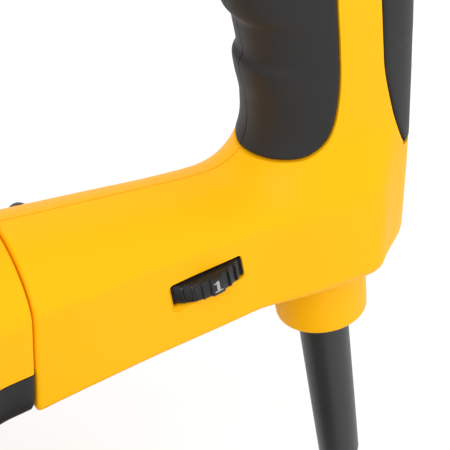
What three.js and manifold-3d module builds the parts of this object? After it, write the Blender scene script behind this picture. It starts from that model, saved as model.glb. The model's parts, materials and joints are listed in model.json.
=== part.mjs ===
// A hand-held wall chaser: two diamond discs in a guard, a two-stage gear head, an in-line
// motor and a loop handle at the rear. Millimetres, +Z up, the tool points along -X.
import * as THREE from "three";
import { mergeVertices } from "three/addons/utils/BufferGeometryUtils.js";
import Module from "manifold-3d";

const wasm = await Module();
wasm.setup();

const DEG = Math.PI / 180;

// ---- driving dimensions ----
const TOUCH_GAP = 0.3; // between pieces that rest on each other
const RUNNING_GAP = 0.4; // between a turning piece and what is round it
const BODY_TILT = 6.5; // degrees that the motor axis rises towards the rear
const SPINDLE_HEIGHT = 92; // spindle axis above the floor
const GEAR_OFFSET = 38; // motor axis above the spindle axis, square to the motor axis
const SEAM_DISTANCE = 192; // gear centre to the seam between motor housing and handle

const DISC_RADIUS = 75;
const DISC_THICKNESS = 2.4;
const DISC_PITCH = 26; // width of the chase
const ARBOR_RADIUS = 11;
const FLANGE_RADIUS = 21;
const FIRST_DISC_Y = -58; // middle of the disc beside the gear head

const GUARD_WALL = 2.5;
const GUARD_CLEARANCE = 8.5; // between the disc rims and the guard
const GUARD_RADIUS = DISC_RADIUS + GUARD_CLEARANCE + GUARD_WALL;
const GUARD_INNER_Y = -47;
const GUARD_DEPTH = 51;
const GUARD_LOW_EDGE = 44; // height of the guard's open lower edge

const SHOE_FRONT = -84;
const SHOE_REAR = 118;
const SHOE_THICKNESS = 3;
const SHOE_LIFT = 2.5; // sole plate above the floor, carried by rollers and skids
const SHOE_FAR_Y = 32;
const DEPTH_TRAVEL = 35;
const CHEEK_THICKNESS = 2.5;
const ROLLER_RADIUS = 9;
const ROLLER_WIDTH = 11;

const FLANGE_DISTANCE = 60; // gear centre to the face where gear and motor housings meet
const FLANGE_HALF = 45; // half the width of that square face
const CASTING_WALL = 4;
const GEARBOX_RADIUS = 35;
const GEARBOX_HALF_WIDTH = 38;
const NECK_RADIUS = 28;
const HOUSING_END_Y = 30; // where the cover closes the gear housing
const BALL_WIDTH = 7; // bearings of the layshaft and of the motor's rear end
const BALL_RADIUS = 11;

const BEVEL_MODULE = 1.5;
const BEVEL_PINION_TEETH = 9;
const BEVEL_CROWN_TEETH = 27;
const SPUR_MODULE = 2;
const SPUR_PINION_TEETH = 13;
const SPUR_GEAR_TEETH = 25;

const STATOR_RADIUS = 39;
const STATOR_START = 84;
const STATOR_LENGTH = 46;
const ARMATURE_RADIUS = 23;
const AIR_GAP = 1;
const SHAFT_RADIUS = 5;

const SHELL_WALL = 3;
const ARM_HALF_WIDTH = 26; // rear arm at the seam
const ARM_ARCH = 1.65; // how full its arched top is: 2 is an oval
const SEAM_GAP = 0.6;
const GRIP_HALF_WIDTH = 18;
const PAD_THICKNESS = 2; // rubber grip pads
const LOOP_HEIGHT = 143; // middle of the loop's top bar above the motor axis at the seam
const LOOP_HALF_THICKNESS = 15;
const LOOP_HALF_WIDTH = 16;

const WHEEL_RADIUS = 17.5;
const WHEEL_THICKNESS = 6.4;
const WHEEL_PROUD = 3.5;
const WHEEL_TILT = 10; // degrees, the slot rises towards the rear
const SLOT_LENGTH = 2 * Math.sqrt(2 * WHEEL_RADIUS * WHEEL_PROUD - WHEEL_PROUD ** 2) + 1.6; // the rim where it leaves the arm
const SLOT_HEIGHT = 7.6;

const BOSS_LEAN = 7.3; // degrees, its foot points rearwards
const BOSS_TOP_RADIUS = 15.8;
const BOSS_RADIUS = 13.6;
const BOSS_LENGTH = 34;
const PROTECTOR_RADIUS = 7.7;
const PROTECTOR_TIP_RADIUS = 6.2;
const PROTECTOR_LENGTH = 56;
const CORD_DIAMETER = 8.5;
const COIL_PLACE = [200, -52]; // middle of the coil on the floor
const COIL_INNER_RADIUS = 37;
const COIL_OUTER_RADIUS = 65;
const COIL_HEIGHT = 35.5;
const COIL_LAST_TURN_RADIUS = 54; // the half turn that lies on top and ends at the plug
const COIL_LAST_TURN = [206, -44];
const PLUG_TILT = 22; // degrees, the plug lies on its rim and its cord end

const HANDLE_LEAN = 18; // degrees that the front handle leans forwards
const HANDLE_LENGTH = 112;
const SCREW_RADIUS = 1.8;

const LAYSHAFT_RADIUS = 5.3;
const LAYSHAFT_END_Y = 29;
const SPUR_Y0 = -24; // both spur gears
const SPUR_Y1 = -12;
const SPUR_ROOT = 2.4;
const SPUR_TIP = 1.8;
const SPUR_BACKLASH = 0.5;
const BEVEL_FACE = 7;
const BEVEL_ROOT = 1.75;
const BEVEL_TIP = 1.2;
const BEVEL_BACKLASH = 0.5;
const SPINDLE_GEAR_SEAT = 8; // radius
const SPINDLE_RADIUS = 7.5;
const SPINDLE_END_RADIUS = 5;
const SPINDLE_BEARING_RADIUS = 17.5;
const SPINDLE_END_BEARING_RADIUS = 10;
const NUT_BORE = 7.3;
const DISC_SLOTS = 12;
const LOCK_COLLAR_RADIUS = 15;
const LOCK_PIN_RADIUS = 3;
const LOCK_TRAVEL = 4;
const LOCK_Y = 5.5;
const COVER_SCREW_REACH = 37.5;
const FRONT_BEARING_RADIUS = 16;
const FRONT_BEARING_X = 34.5;
const REAR_BEARING_X = SEAM_DISTANCE - 38;
const COMMUTATOR_RADIUS = 14;
const FAN_X = 66;
const STRIP_THICKNESS = 2;
const STRIP_LEVEL = 12; // the lower strip's top edge below the motor axis
const VENTS = 5;
const VENT_PITCH = 7;
const VENT_WIDTH = 3;
const PORT_BORE = 16.5;
const PORT_STUB = 46;
const PORT_LENGTH = 30;
const PORT_RISE = 14; // degrees
const STUD_RADIUS = 4;
const STUD_REACH = GUARD_RADIUS - 16; // guide pin ahead of the spindle, clamp stud behind it
const STUD_HEIGHT = 60;
const CHEEK_GAP = 0.8;
const KNOB_RADIUS = 16;
const ROLLER_X = -97;
const AXLE_RADIUS = 2.5;
const HANDLE_BOSS_RADIUS = 13;
const HANDLE_BOSS_LENGTH = 22;
const HANDLE_STUD_RADIUS = 5;
const HANDLE_RISE = 1; // handle's own level line above the motor axis at the seam
const WHEEL_X = 56; // slot middle, from the seam
const WHEEL_Z = -1.8;
const WHEEL_SIDE = 22; // half width of the arm beside the wheel
const TRIGGER_HALF = 6.8;
const TRIGGER_LOW = 86;
const TRIGGER_HIGH = 119;
const TRIGGER_PIVOT = [87, 115];
const TRIGGER_PIN_RADIUS = 1.8;
const LOCK_ON_RADIUS = 5;
const LOCK_ON_X = 105.5;
const LOCK_ON_Z = 96;
const SCREW_PLACES = [[14, 12.5], [88, 2], [121, 60], [60, 143], [-28, 108]];

// ---- materials ----
function finish(color, roughness, metalness = 0) {
  return new THREE.MeshStandardMaterial({ color, roughness, metalness });
}
const yellowPlastic = finish(0xffce19, 0.45);
const blackPlastic = finish(0x272727, 0.5);
const softRubber = finish(0x333333, 0.7);
const cordRubber = finish(0x303030, 0.6);
const castAluminium = finish(0xb4b6b8, 0.5, 0.9);
const steel = finish(0x9b9da0, 0.3, 1);
const darkSteel = finish(0x4a4c50, 0.45, 1);
const laminations = finish(0x6e7074, 0.5, 0.9);
const copper = finish(0xb9743c, 0.35, 1);
const discSteel = finish(0x8e9196, 0.35, 1);

// ---- shapes ----
const up = new THREE.Vector3(0, 1, 0);

function point(x, y, z) {
  return new THREE.Vector3(x, y, z);
}

// A closed solid of a three.js geometry, with its faces pointing out.
function solid(geometry) {
  const bare = geometry.clone();
  bare.deleteAttribute("normal");
  bare.deleteAttribute("uv");
  const merged = mergeVertices(bare, 1e-4);
  const vertProperties = new Float32Array(merged.attributes.position.array);
  const triVerts = new Uint32Array(merged.index.array);
  const made = new wasm.Manifold(new wasm.Mesh({ numProp: 3, vertProperties, triVerts }));
  if (made.volume() > 0) return made;
  for (let i = 0; i < triVerts.length; i += 3) {
    [triVerts[i + 1], triVerts[i + 2]] = [triVerts[i + 2], triVerts[i + 1]];
  }
  return new wasm.Manifold(new wasm.Mesh({ numProp: 3, vertProperties, triVerts }));
}

function joined(first, ...others) {
  return others.reduce((sum, other) => sum.add(other), first);
}

function cut(base, ...tools) {
  return tools.reduce((rest, tool) => rest.subtract(tool), base);
}

function block(low, high) {
  const size = high.map((value, i) => value - low[i]);
  const middle = high.map((value, i) => (value + low[i]) / 2);
  return solid(new THREE.BoxGeometry(...size).translate(...middle));
}

// A box turned about Y by an angle in degrees, given by its middle and size.
function turnedBlock(middle, size, angle) {
  return solid(new THREE.BoxGeometry(...size).rotateY(angle * DEG).translate(...middle));
}

// A shape turned round an axis: the profile is a list of [radius, distance along the axis].
function turned(profile, start, direction, sides = 16) {
  const outline = profile.map(([radius, along]) => new THREE.Vector2(Math.max(radius, 0), along));
  const geometry = new THREE.LatheGeometry(outline, sides);
  const turn = new THREE.Quaternion().setFromUnitVectors(up, direction.clone().normalize());
  return solid(geometry.applyQuaternion(turn).translate(start.x, start.y, start.z));
}

function rod(radius, from, to, sides = 16) {
  const way = to.clone().sub(from);
  return turned([[0, 0], [radius, 0], [radius, way.length()], [0, way.length()]], from, way, sides);
}

function ring(inner, outer, from, to, sides = 16) {
  const way = to.clone().sub(from);
  const length = way.length();
  const profile = [[inner, 0], [outer, 0], [outer, length], [inner, length], [inner, 0]];
  return turned(profile, from, way, sides);
}

// An outline of [x, z] points pushed sideways from y0 to y1.
function slab(outline, y0, y1) {
  const shape = new THREE.Shape(outline.map(([x, z]) => new THREE.Vector2(x, z)));
  const geometry = new THREE.ExtrudeGeometry(shape, { depth: y1 - y0, bevelEnabled: false });
  return solid(geometry.rotateX(Math.PI / 2).translate(0, y1, 0));
}

// A skin over a row of rings of equal length, closed by a fan at each end.
function loft(rings) {
  const count = rings[0].length;
  const positions = rings.flat();
  const faces = [];
  for (let r = 0; r < rings.length - 1; r++) {
    for (let i = 0; i < count; i++) {
      const a = r * count + i;
      const b = r * count + ((i + 1) % count);
      faces.push(a, b, b + count, a, b + count, a + count);
    }
  }
  for (const [r, order] of [[0, 1], [rings.length - 1, -1]]) {
    const middle = rings[r].reduce((sum, p) => sum.add(p), point(0, 0, 0)).divideScalar(count);
    positions.push(middle);
    for (let i = 0; i < count; i++) {
      const a = r * count + i;
      const b = r * count + ((i + 1) % count);
      faces.push(positions.length - 1, ...(order > 0 ? [b, a] : [a, b]));
    }
  }
  const geometry = new THREE.BufferGeometry().setFromPoints(positions);
  geometry.setIndex(faces);
  return solid(geometry);
}

// One coordinate of a superellipse, so that a ring can be between an oval and a rounded box.
function bulge(value, squareness) {
  return Math.sign(value) * Math.abs(value) ** (2 / squareness);
}

// A smooth curve through [position, value] knots.
function through(knots) {
  const slopes = knots.map((unused, i) => {
    const before = knots[Math.max(0, i - 1)];
    const after = knots[Math.min(knots.length - 1, i + 1)];
    return (after[1] - before[1]) / (after[0] - before[0]);
  });
  return (x) => {
    let i = 0;
    while (i < knots.length - 2 && x > knots[i + 1][0]) i++;
    const width = knots[i + 1][0] - knots[i][0];
    const t = Math.min(1, Math.max(0, (x - knots[i][0]) / width));
    const ease = t * t * (3 - 2 * t);
    const bend = slopes[i] * t * (1 - t) ** 2 - slopes[i + 1] * t * t * (1 - t);
    return knots[i][1] + (knots[i + 1][1] - knots[i][1]) * ease + width * bend;
  };
}

// The outline moved out by a distance; points run anticlockwise in X and Z.
function grown(outline, distance) {
  return outline.map((here, i) => {
    const before = outline[(i + outline.length - 1) % outline.length];
    const after = outline[(i + 1) % outline.length];
    const way = new THREE.Vector2(after[0] - before[0], after[1] - before[1]).normalize();
    return [here[0] + way.y * distance, here[1] - way.x * distance];
  });
}

function arcPoints(x, z, radius, from, to, steps) {
  return Array.from({ length: steps + 1 }, (unused, i) => {
    const angle = (from + ((to - from) * i) / steps) * DEG;
    return [x + radius * Math.cos(angle), z + radius * Math.sin(angle)];
  });
}

// Two half circles of one radius, one above the other, joined by straight sides.
function stadium(topZ, lowZ, radius, steps = 8) {
  return [...arcPoints(0, topZ, radius, 0, 180, steps), ...arcPoints(0, lowZ, radius, 180, 360, steps)];
}

// ---- the scene graph ----
const tool = new THREE.Group(); // origin under the spindle, on the floor
const powerhead = new THREE.Group(); // X along the motor axis, origin where it meets the gears
const rear = new THREE.Group(); // upright, origin on the motor axis at the seam
tool.add(powerhead, rear);

const tilt = BODY_TILT * DEG;
const gearCentre = point(-GEAR_OFFSET * Math.sin(tilt), 0, SPINDLE_HEIGHT + GEAR_OFFSET * Math.cos(tilt));
powerhead.position.copy(gearCentre);
powerhead.rotation.y = -tilt;
rear.position.set(
  gearCentre.x + SEAM_DISTANCE * Math.cos(tilt),
  0,
  gearCentre.z + SEAM_DISTANCE * Math.sin(tilt) + HANDLE_RISE,
);
powerhead.updateMatrix();
rear.updateMatrix();
const headToRear = rear.matrix.clone().invert().multiply(powerhead.matrix);

function add(group, name, shape, material) {
  const made = shape.getMesh();
  const geometry = new THREE.BufferGeometry();
  geometry.setAttribute("position", new THREE.BufferAttribute(made.vertProperties, 3));
  geometry.setIndex(new THREE.BufferAttribute(made.triVerts, 1));
  geometry.computeVertexNormals();
  const mesh = new THREE.Mesh(geometry, material);
  mesh.name = name;
  group.add(mesh);
}

const alongX = point(1, 0, 0);
const alongY = point(0, 1, 0);
const spindleZ = -GEAR_OFFSET; // in the powerhead group

// A rod or ring along Y, placed by X and Z.
function crossRod(radius, x, z, y0, y1, sides = 16) {
  return rod(radius, point(x, y0, z), point(x, y1, z), sides);
}

function crossRing(inner, outer, x, z, y0, y1, sides = 16) {
  return ring(inner, outer, point(x, y0, z), point(x, y1, z), sides);
}

// A rod or ring on the motor axis, placed by its two ends.
function axisRod(radius, x0, x1, sides = 16) {
  return rod(radius, point(x0, 0, 0), point(x1, 0, 0), sides);
}

function axisRing(inner, outer, x0, x1, sides = 16) {
  return ring(inner, outer, point(x0, 0, 0), point(x1, 0, 0), sides);
}

// ---- gears ----
// Angle and radius pairs round a gear: the flank and tip points of each tooth.
function toothRing(teeth, module, rootDepth, tipHeight, backlash) {
  const pitchRadius = (teeth * module) / 2;
  const half = (Math.PI * module) / 4 - backlash / 2;
  const slope = Math.tan(20 * DEG);
  const corners = [[-1, -rootDepth], [-1, tipHeight], [1, tipHeight], [1, -rootDepth]];
  const points = [];
  for (let tooth = 0; tooth < teeth; tooth++) {
    const middle = (2 * Math.PI * tooth) / teeth;
    for (const [side, height] of corners) {
      const radius = pitchRadius + height;
      points.push([middle + (side * (half - slope * height)) / radius, radius]);
    }
  }
  return points;
}

function spurGear(teeth, x, z, y0, y1, turn) {
  const outline = toothRing(teeth, SPUR_MODULE, SPUR_ROOT, SPUR_TIP, SPUR_BACKLASH);
  return slab(outline.map(([a, r]) => [x + r * Math.cos(a + turn), z + r * Math.sin(a + turn)]), y0, y1);
}

// A straight bevel gear: apex at the origin, axis along one direction, a tooth towards the other.
function bevelGear(teeth, mateTeeth, backLength, axis, toothSide, turn) {
  const cone = Math.atan2(teeth, mateTeeth);
  const pitchRadius = (teeth * BEVEL_MODULE) / 2;
  const apexDistance = pitchRadius / Math.tan(cone);
  const rootRadius = pitchRadius - BEVEL_ROOT * Math.cos(cone);
  const third = axis.clone().cross(toothSide);
  const place = (angle, reach, along) => axis.clone().multiplyScalar(along)
    .addScaledVector(toothSide, reach * Math.cos(angle + turn))
    .addScaledVector(third, reach * Math.sin(angle + turn));
  const teethPoints = toothRing(teeth, BEVEL_MODULE, BEVEL_ROOT, BEVEL_TIP, BEVEL_BACKLASH);
  const outer = teethPoints.map(([angle, radius]) => {
    const height = radius - pitchRadius;
    return place(angle, pitchRadius + height * Math.cos(cone), apexDistance - height * Math.sin(cone));
  });
  const share = 1 - BEVEL_FACE / Math.hypot(pitchRadius, apexDistance);
  const inner = outer.map((p) => p.clone().multiplyScalar(share));
  const back = teethPoints.map(([angle]) => place(angle, rootRadius, apexDistance + backLength));
  return loft([inner, outer, back]);
}

function buildGears() {
  const bevelBore = SHAFT_RADIUS - 1.2;
  const pinion = bevelGear(BEVEL_PINION_TEETH, BEVEL_CROWN_TEETH, 5, alongX, alongY, 0);
  add(powerhead, "bevel_pinion", cut(pinion, axisRod(bevelBore, 5, 35)), steel);

  const crownTurn = Math.PI / BEVEL_CROWN_TEETH; // a gap of the crown meets the pinion's tooth
  const crown = bevelGear(BEVEL_CROWN_TEETH, BEVEL_PINION_TEETH, 7, alongY, alongX, crownTurn);
  add(powerhead, "crown_gear", cut(crown, crossRod(LAYSHAFT_RADIUS + TOUCH_GAP, 0, 0, 0, 30)), darkSteel);

  const pinionTurn = -Math.PI / 2; // a tooth points straight down at the spindle
  const spurPinion = spurGear(SPUR_PINION_TEETH, 0, 0, SPUR_Y0, SPUR_Y1, pinionTurn);
  const layshaft = crossRod(LAYSHAFT_RADIUS, 0, 0, -GEARBOX_HALF_WIDTH + 4.6, LAYSHAFT_END_Y);
  add(powerhead, "layshaft_with_pinion", joined(layshaft, spurPinion), steel);

  const gearTurn = Math.PI / 2 + Math.PI / SPUR_GEAR_TEETH; // a gap faces straight up
  const gear = spurGear(SPUR_GEAR_TEETH, 0, spindleZ, SPUR_Y0, SPUR_Y1, gearTurn);
  const gearBore = crossRod(SPINDLE_GEAR_SEAT + TOUCH_GAP, 0, spindleZ, SPUR_Y0 - 1, SPUR_Y1 + 1);
  add(powerhead, "spindle_gear", cut(gear, gearBore), darkSteel);
}

// ---- gear housing ----
const neckEndY = GUARD_INNER_Y + 0.6;

// A ring of points square to the motor axis: a rounded square.
function squareRing(x, half, squareness = 5, count = 20) {
  return Array.from({ length: count }, (unused, i) => {
    const angle = (2 * Math.PI * i) / count;
    return point(x, half * bulge(Math.cos(angle), squareness), half * bulge(Math.sin(angle), squareness));
  });
}

function handleBossAxis() {
  return point(-Math.sin(HANDLE_LEAN * DEG), 0, Math.cos(HANDLE_LEAN * DEG));
}

function buildGearHousing() {
  const wallY = GEARBOX_HALF_WIDTH;
  const outer = stadium(0, spindleZ, GEARBOX_RADIUS);
  const inner = stadium(0, spindleZ, GEARBOX_RADIUS - CASTING_WALL);
  const bell = loft([[22, HOUSING_END_Y - 2], [44, HOUSING_END_Y - 0.5], [52, FLANGE_HALF - 5], [57, FLANGE_HALF - 0.5],
    [FLANGE_DISTANCE, FLANGE_HALF]].map(([x, half]) => squareRing(x, half)));
  const chamber = loft([[48, HOUSING_END_Y - 4], [53, FLANGE_HALF - CASTING_WALL - 4],
    [FLANGE_DISTANCE + 1, FLANGE_HALF - CASTING_WALL]].map(([x, half]) => squareRing(x, half)));
  const bossFoot = point(0, 0, GEARBOX_RADIUS - 8);
  const bossTop = bossFoot.clone().addScaledVector(handleBossAxis(), HANDLE_BOSS_LENGTH);
  const seatDepth = wallY - CASTING_WALL - BALL_WIDTH - 1;
  const body = joined(
    cut(slab(outer, -wallY, HOUSING_END_Y), slab(inner, -wallY + CASTING_WALL, HOUSING_END_Y + 1)),
    cut(bell, slab(inner, -wallY + CASTING_WALL, HOUSING_END_Y + 1)),
    crossRing(BALL_RADIUS - 2, BALL_RADIUS + 3.5, 0, 0, -wallY + 1, -seatDepth),
    crossRod(NECK_RADIUS, 0, spindleZ, neckEndY, -wallY + 1),
    rod(HANDLE_BOSS_RADIUS, bossFoot.clone().addScaledVector(handleBossAxis(), 5), bossTop),
  );
  const lockLine = [point(-GEARBOX_RADIUS - 2, LOCK_Y, spindleZ), point(-GEARBOX_RADIUS + 8, LOCK_Y, spindleZ)];
  const cuts = [
    chamber,
    axisRod(FRONT_BEARING_RADIUS + TOUCH_GAP, FRONT_BEARING_X, 50),
    axisRod(SHAFT_RADIUS + 2, 25, 50),
    crossRod(BALL_RADIUS + TOUCH_GAP, 0, 0, -wallY + CASTING_WALL - TOUCH_GAP, -seatDepth + 1),
    crossRod(SPINDLE_BEARING_RADIUS + TOUCH_GAP, 0, spindleZ, neckEndY - 1, -wallY + CASTING_WALL + 1),
    rod(HANDLE_STUD_RADIUS + TOUCH_GAP, bossFoot.clone().addScaledVector(handleBossAxis(), 12),
      bossTop.clone().addScaledVector(handleBossAxis(), 1)),
    rod(LOCK_PIN_RADIUS + RUNNING_GAP, ...lockLine, 12),
  ];
  for (const [y, z] of cornerPositions(COVER_SCREW_REACH)) {
    cuts.push(crossRod(SCREW_RADIUS + TOUCH_GAP, y, z, HOUSING_END_Y - 12, HOUSING_END_Y + 1, 8));
  }
  const lugs = cornerPositions(COVER_SCREW_REACH).map(([x, z]) => (
    crossRod(4.5, x, z, HOUSING_END_Y - 14, HOUSING_END_Y, 10)
  ));
  add(powerhead, "gear_housing", cut(joined(body, ...lugs), ...cuts), castAluminium);
}

// The four cover screws sit outside the oval, two above and two below.
function cornerPositions(reach) {
  return [[reach, 8], [-reach, 8], [reach, spindleZ - 8], [-reach, spindleZ - 8]];
}

function buildGearCover() {
  const y0 = HOUSING_END_Y + TOUCH_GAP;
  const y1 = GEARBOX_HALF_WIDTH;
  const plate = slab(stadium(0, spindleZ, GEARBOX_RADIUS), y0, y1 - 2);
  const raised = slab(stadium(0, spindleZ, GEARBOX_RADIUS - 8), y1 - 3, y1);
  const ears = cornerPositions(COVER_SCREW_REACH).map(([x, z]) => crossRod(4.5, x, z, y0, y1 - 2, 10));
  const seats = [
    crossRing(BALL_RADIUS + TOUCH_GAP, BALL_RADIUS + 3.5, 0, 0, y0 - BALL_WIDTH, y0 + 1),
    crossRing(SPINDLE_END_BEARING_RADIUS + TOUCH_GAP, SPINDLE_END_BEARING_RADIUS + 3.5, 0, spindleZ, y0 - BALL_WIDTH, y0 + 1),
  ];
  const holes = cornerPositions(COVER_SCREW_REACH).map(([x, z]) => (
    crossRod(SCREW_RADIUS + TOUCH_GAP, x, z, y0 - 1, y1, 8)
  ));
  add(powerhead, "gear_cover", cut(joined(plate, raised, ...ears, ...seats), ...holes), castAluminium);
  [0, 3].map((i) => cornerPositions(COVER_SCREW_REACH)[i]).forEach(([x, z], i) => {
    const headY = y1 - 2 + TOUCH_GAP;
    const profile = [[0, 0], [3.4, 0], [3.4, 2.4], [SCREW_RADIUS, 2.4], [SCREW_RADIUS, 15], [0, 15]];
    const screw = turned(profile, point(x, headY + 2.4, z), point(0, -1, 0), 12);
    add(powerhead, "gear_cover_screw_" + (i + 1), screw, darkSteel);
  });
}

function buildSpindle() {
  const shaft = [
    [0, 0], [SPINDLE_END_RADIUS, 0], [SPINDLE_END_RADIUS, 8], [SPINDLE_GEAR_SEAT, 8.5], [SPINDLE_GEAR_SEAT, 19],
    [LOCK_COLLAR_RADIUS, 19.3], [LOCK_COLLAR_RADIUS, 27], [SPINDLE_GEAR_SEAT, 27.3], [SPINDLE_GEAR_SEAT, 62],
    [SPINDLE_RADIUS, 62], [SPINDLE_RADIUS, 77.4], [14, 77.6], [14, 79.2], [ARBOR_RADIUS - TOUCH_GAP, 79.4],
  ];
  const arborEnd = FIRST_DISC_Y - DISC_PITCH - DISC_THICKNESS / 2;
  const startY = LAYSHAFT_END_Y - 0.5;
  shaft.push([ARBOR_RADIUS - TOUCH_GAP, startY - arborEnd - 0.2], [NUT_BORE - TOUCH_GAP, startY - arborEnd]);
  shaft.push([NUT_BORE - TOUCH_GAP, startY - arborEnd + 9], [0, startY - arborEnd + 9]);
  const start = point(0, startY, spindleZ);
  const body = turned(shaft, start, point(0, -1, 0));
  const holes = [0, 90].map((angle) => {
    const way = point(Math.cos(angle * DEG), 0, Math.sin(angle * DEG)).multiplyScalar(LOCK_COLLAR_RADIUS + 1);
    const middle = point(0, LOCK_Y, spindleZ);
    return cut(rod(LOCK_PIN_RADIUS + RUNNING_GAP, middle.clone().sub(way), middle.clone().add(way), 8),
      crossRod(SPINDLE_GEAR_SEAT + 0.5, 0, spindleZ, -20, 20));
  });
  add(powerhead, "spindle", cut(body, ...holes), steel);

  const outerBearing = crossRing(SPINDLE_RADIUS + TOUCH_GAP, SPINDLE_BEARING_RADIUS, 0, spindleZ, -45.6, -34.6);
  add(powerhead, "spindle_bearing_outer", outerBearing, steel);
  const endBearing = crossRing(SPINDLE_END_RADIUS + TOUCH_GAP, SPINDLE_END_BEARING_RADIUS, 0, spindleZ,
    HOUSING_END_Y - BALL_WIDTH + 0.6, HOUSING_END_Y - 0.4);
  add(powerhead, "spindle_bearing_inner", endBearing, steel);
  const seatY = -GEARBOX_HALF_WIDTH + CASTING_WALL;
  [["layshaft_bearing_left", seatY], ["layshaft_bearing_right", HOUSING_END_Y - BALL_WIDTH - 0.2]].forEach(([name, y]) => {
    add(powerhead, name, crossRing(LAYSHAFT_RADIUS + TOUCH_GAP, BALL_RADIUS, 0, 0, y, y + BALL_WIDTH - 0.2), steel);
  });
}

function buildDiscs() {
  const half = DISC_THICKNESS / 2;
  const innerFace = FIRST_DISC_Y + half;
  add(powerhead, "inner_flange", crossRing(ARBOR_RADIUS, FLANGE_RADIUS, 0, spindleZ, innerFace + TOUCH_GAP, innerFace + 5.5), steel);
  [0, 1].forEach((i) => {
    const middle = FIRST_DISC_Y - i * DISC_PITCH;
    add(powerhead, i ? "diamond_disc_outer" : "diamond_disc_inner", discShape(middle - half, middle + half), discSteel);
  });
  const spacer = crossRing(ARBOR_RADIUS, FLANGE_RADIUS - 4, 0, spindleZ,
    FIRST_DISC_Y - DISC_PITCH + half + TOUCH_GAP, FIRST_DISC_Y - half - TOUCH_GAP);
  add(powerhead, "disc_spacer", spacer, steel);
  const nutY = FIRST_DISC_Y - DISC_PITCH - half - TOUCH_GAP;
  const nutHoles = [1, -1].map((side) => crossRod(2.5, side * 14, spindleZ, nutY - 7, nutY - 2.5, 10));
  const nut = crossRing(NUT_BORE, FLANGE_RADIUS - 2, 0, spindleZ, nutY - 6, nutY);
  add(powerhead, "clamp_nut", cut(nut, ...nutHoles), darkSteel);
}

// A steel core with cooling slots between its diamond segments.
function discShape(y0, y1) {
  const slots = DISC_SLOTS;
  const outline = [];
  for (let i = 0; i < slots; i++) {
    const start = (360 * i) / slots;
    const slotHalf = (1.2 / DISC_RADIUS) / DEG;
    outline.push(...arcPoints(0, spindleZ, DISC_RADIUS, start + slotHalf, start + 360 / slots - slotHalf, 3));
    const next = start + 360 / slots;
    const inner = DISC_RADIUS - 11;
    outline.push(...arcPoints(0, spindleZ, inner, next - slotHalf * 1.2, next + slotHalf * 1.2, 1));
  }
  return cut(slab(outline, y0, y1), crossRod(ARBOR_RADIUS, 0, spindleZ, y0 - 1, y1 + 1));
}

function buildSpindleLock() {
  const startX = -(LOCK_COLLAR_RADIUS + 2.4);
  const capX = -(GEARBOX_RADIUS + LOCK_TRAVEL + 0.6);
  const pin = rod(LOCK_PIN_RADIUS, point(startX, LOCK_Y, spindleZ), point(capX - 1, LOCK_Y, spindleZ), 12);
  const cap = rod(7, point(capX, LOCK_Y, spindleZ), point(capX - 6, LOCK_Y, spindleZ));
  add(powerhead, "spindle_lock_button", joined(pin, cap), blackPlastic);
}

// ---- motor ----
// One ring of the motor housing, at a distance ahead of the seam: flat sides under an arched top
// at the seam, changing to a rounded square at the gear end, where it stands square to the axis.
const housingWidth = through(
  [[0, ARM_HALF_WIDTH + 0.3], [12, 27.4], [28, 33], [44, 40.5], [58, FLANGE_HALF - 0.5], [70, FLANGE_HALF], [132, FLANGE_HALF]],
);
const housingTop = through(
  [[0, 22.6], [12, 25.2], [28, 32.5], [44, 40.5], [58, FLANGE_HALF - 0.5], [70, FLANGE_HALF], [132, FLANGE_HALF]],
);
const housingBottom = through(
  [[0, 25.8], [12, 27.2], [28, 32.5], [44, 40.5], [58, FLANGE_HALF - 0.5], [70, FLANGE_HALF], [132, FLANGE_HALF]],
);
const archPower = through([[0, ARM_ARCH], [10, 1.8], [28, 2.6], [58, 4.8], [132, 5]]);
const footPower = through([[0, 9], [28, 6], [58, 5], [132, 5]]);
const housingStops = [0, 8, 16, 26, 36, 46, 56, 70];

function sectionRing(width, top, bottom, shoulder, archSquareness, footSquareness, count, toPoint) {
  return Array.from({ length: count }, (unused, i) => {
    const angle = (2 * Math.PI * (i + 0.5)) / count;
    const arch = angle < Math.PI;
    const squareness = arch ? archSquareness : footSquareness;
    const height = arch ? top - shoulder : bottom + shoulder;
    return toPoint(width * bulge(Math.cos(angle), squareness), shoulder + height * bulge(Math.sin(angle), squareness));
  });
}

function housingRing(ahead, inset, count = 20) {
  const lean = tilt * (1 - Math.min(1, ahead / 60));
  const x = SEAM_DISTANCE - ahead;
  const shoulder = 5 * (1 - Math.min(1, ahead / 58));
  return sectionRing(
    housingWidth(ahead) - inset, housingTop(ahead) - inset, housingBottom(ahead) - inset, shoulder,
    archPower(ahead), footPower(ahead), count,
    (y, z) => point(x + z * Math.sin(lean), y, z * Math.cos(lean)),
  );
}

const housingLength = SEAM_DISTANCE - FLANGE_DISTANCE - TOUCH_GAP;

function housingLoft(inset, from = 0, to = housingLength, place = null) {
  const stops = [from, ...housingStops.filter((s) => s > from + 1 && s < to - 1), to];
  return loft(stops.map((s) => {
    const points = housingRing(s, inset);
    return place ? points.map((p) => p.applyMatrix4(place)) : points;
  }));
}

// The lower strip's region: everything under a level that runs along the motor axis.
function underStrip(gap) {
  return block([FLANGE_DISTANCE - 5, -60, -60], [SEAM_DISTANCE + 20, 60, -STRIP_LEVEL + gap]);
}

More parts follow.
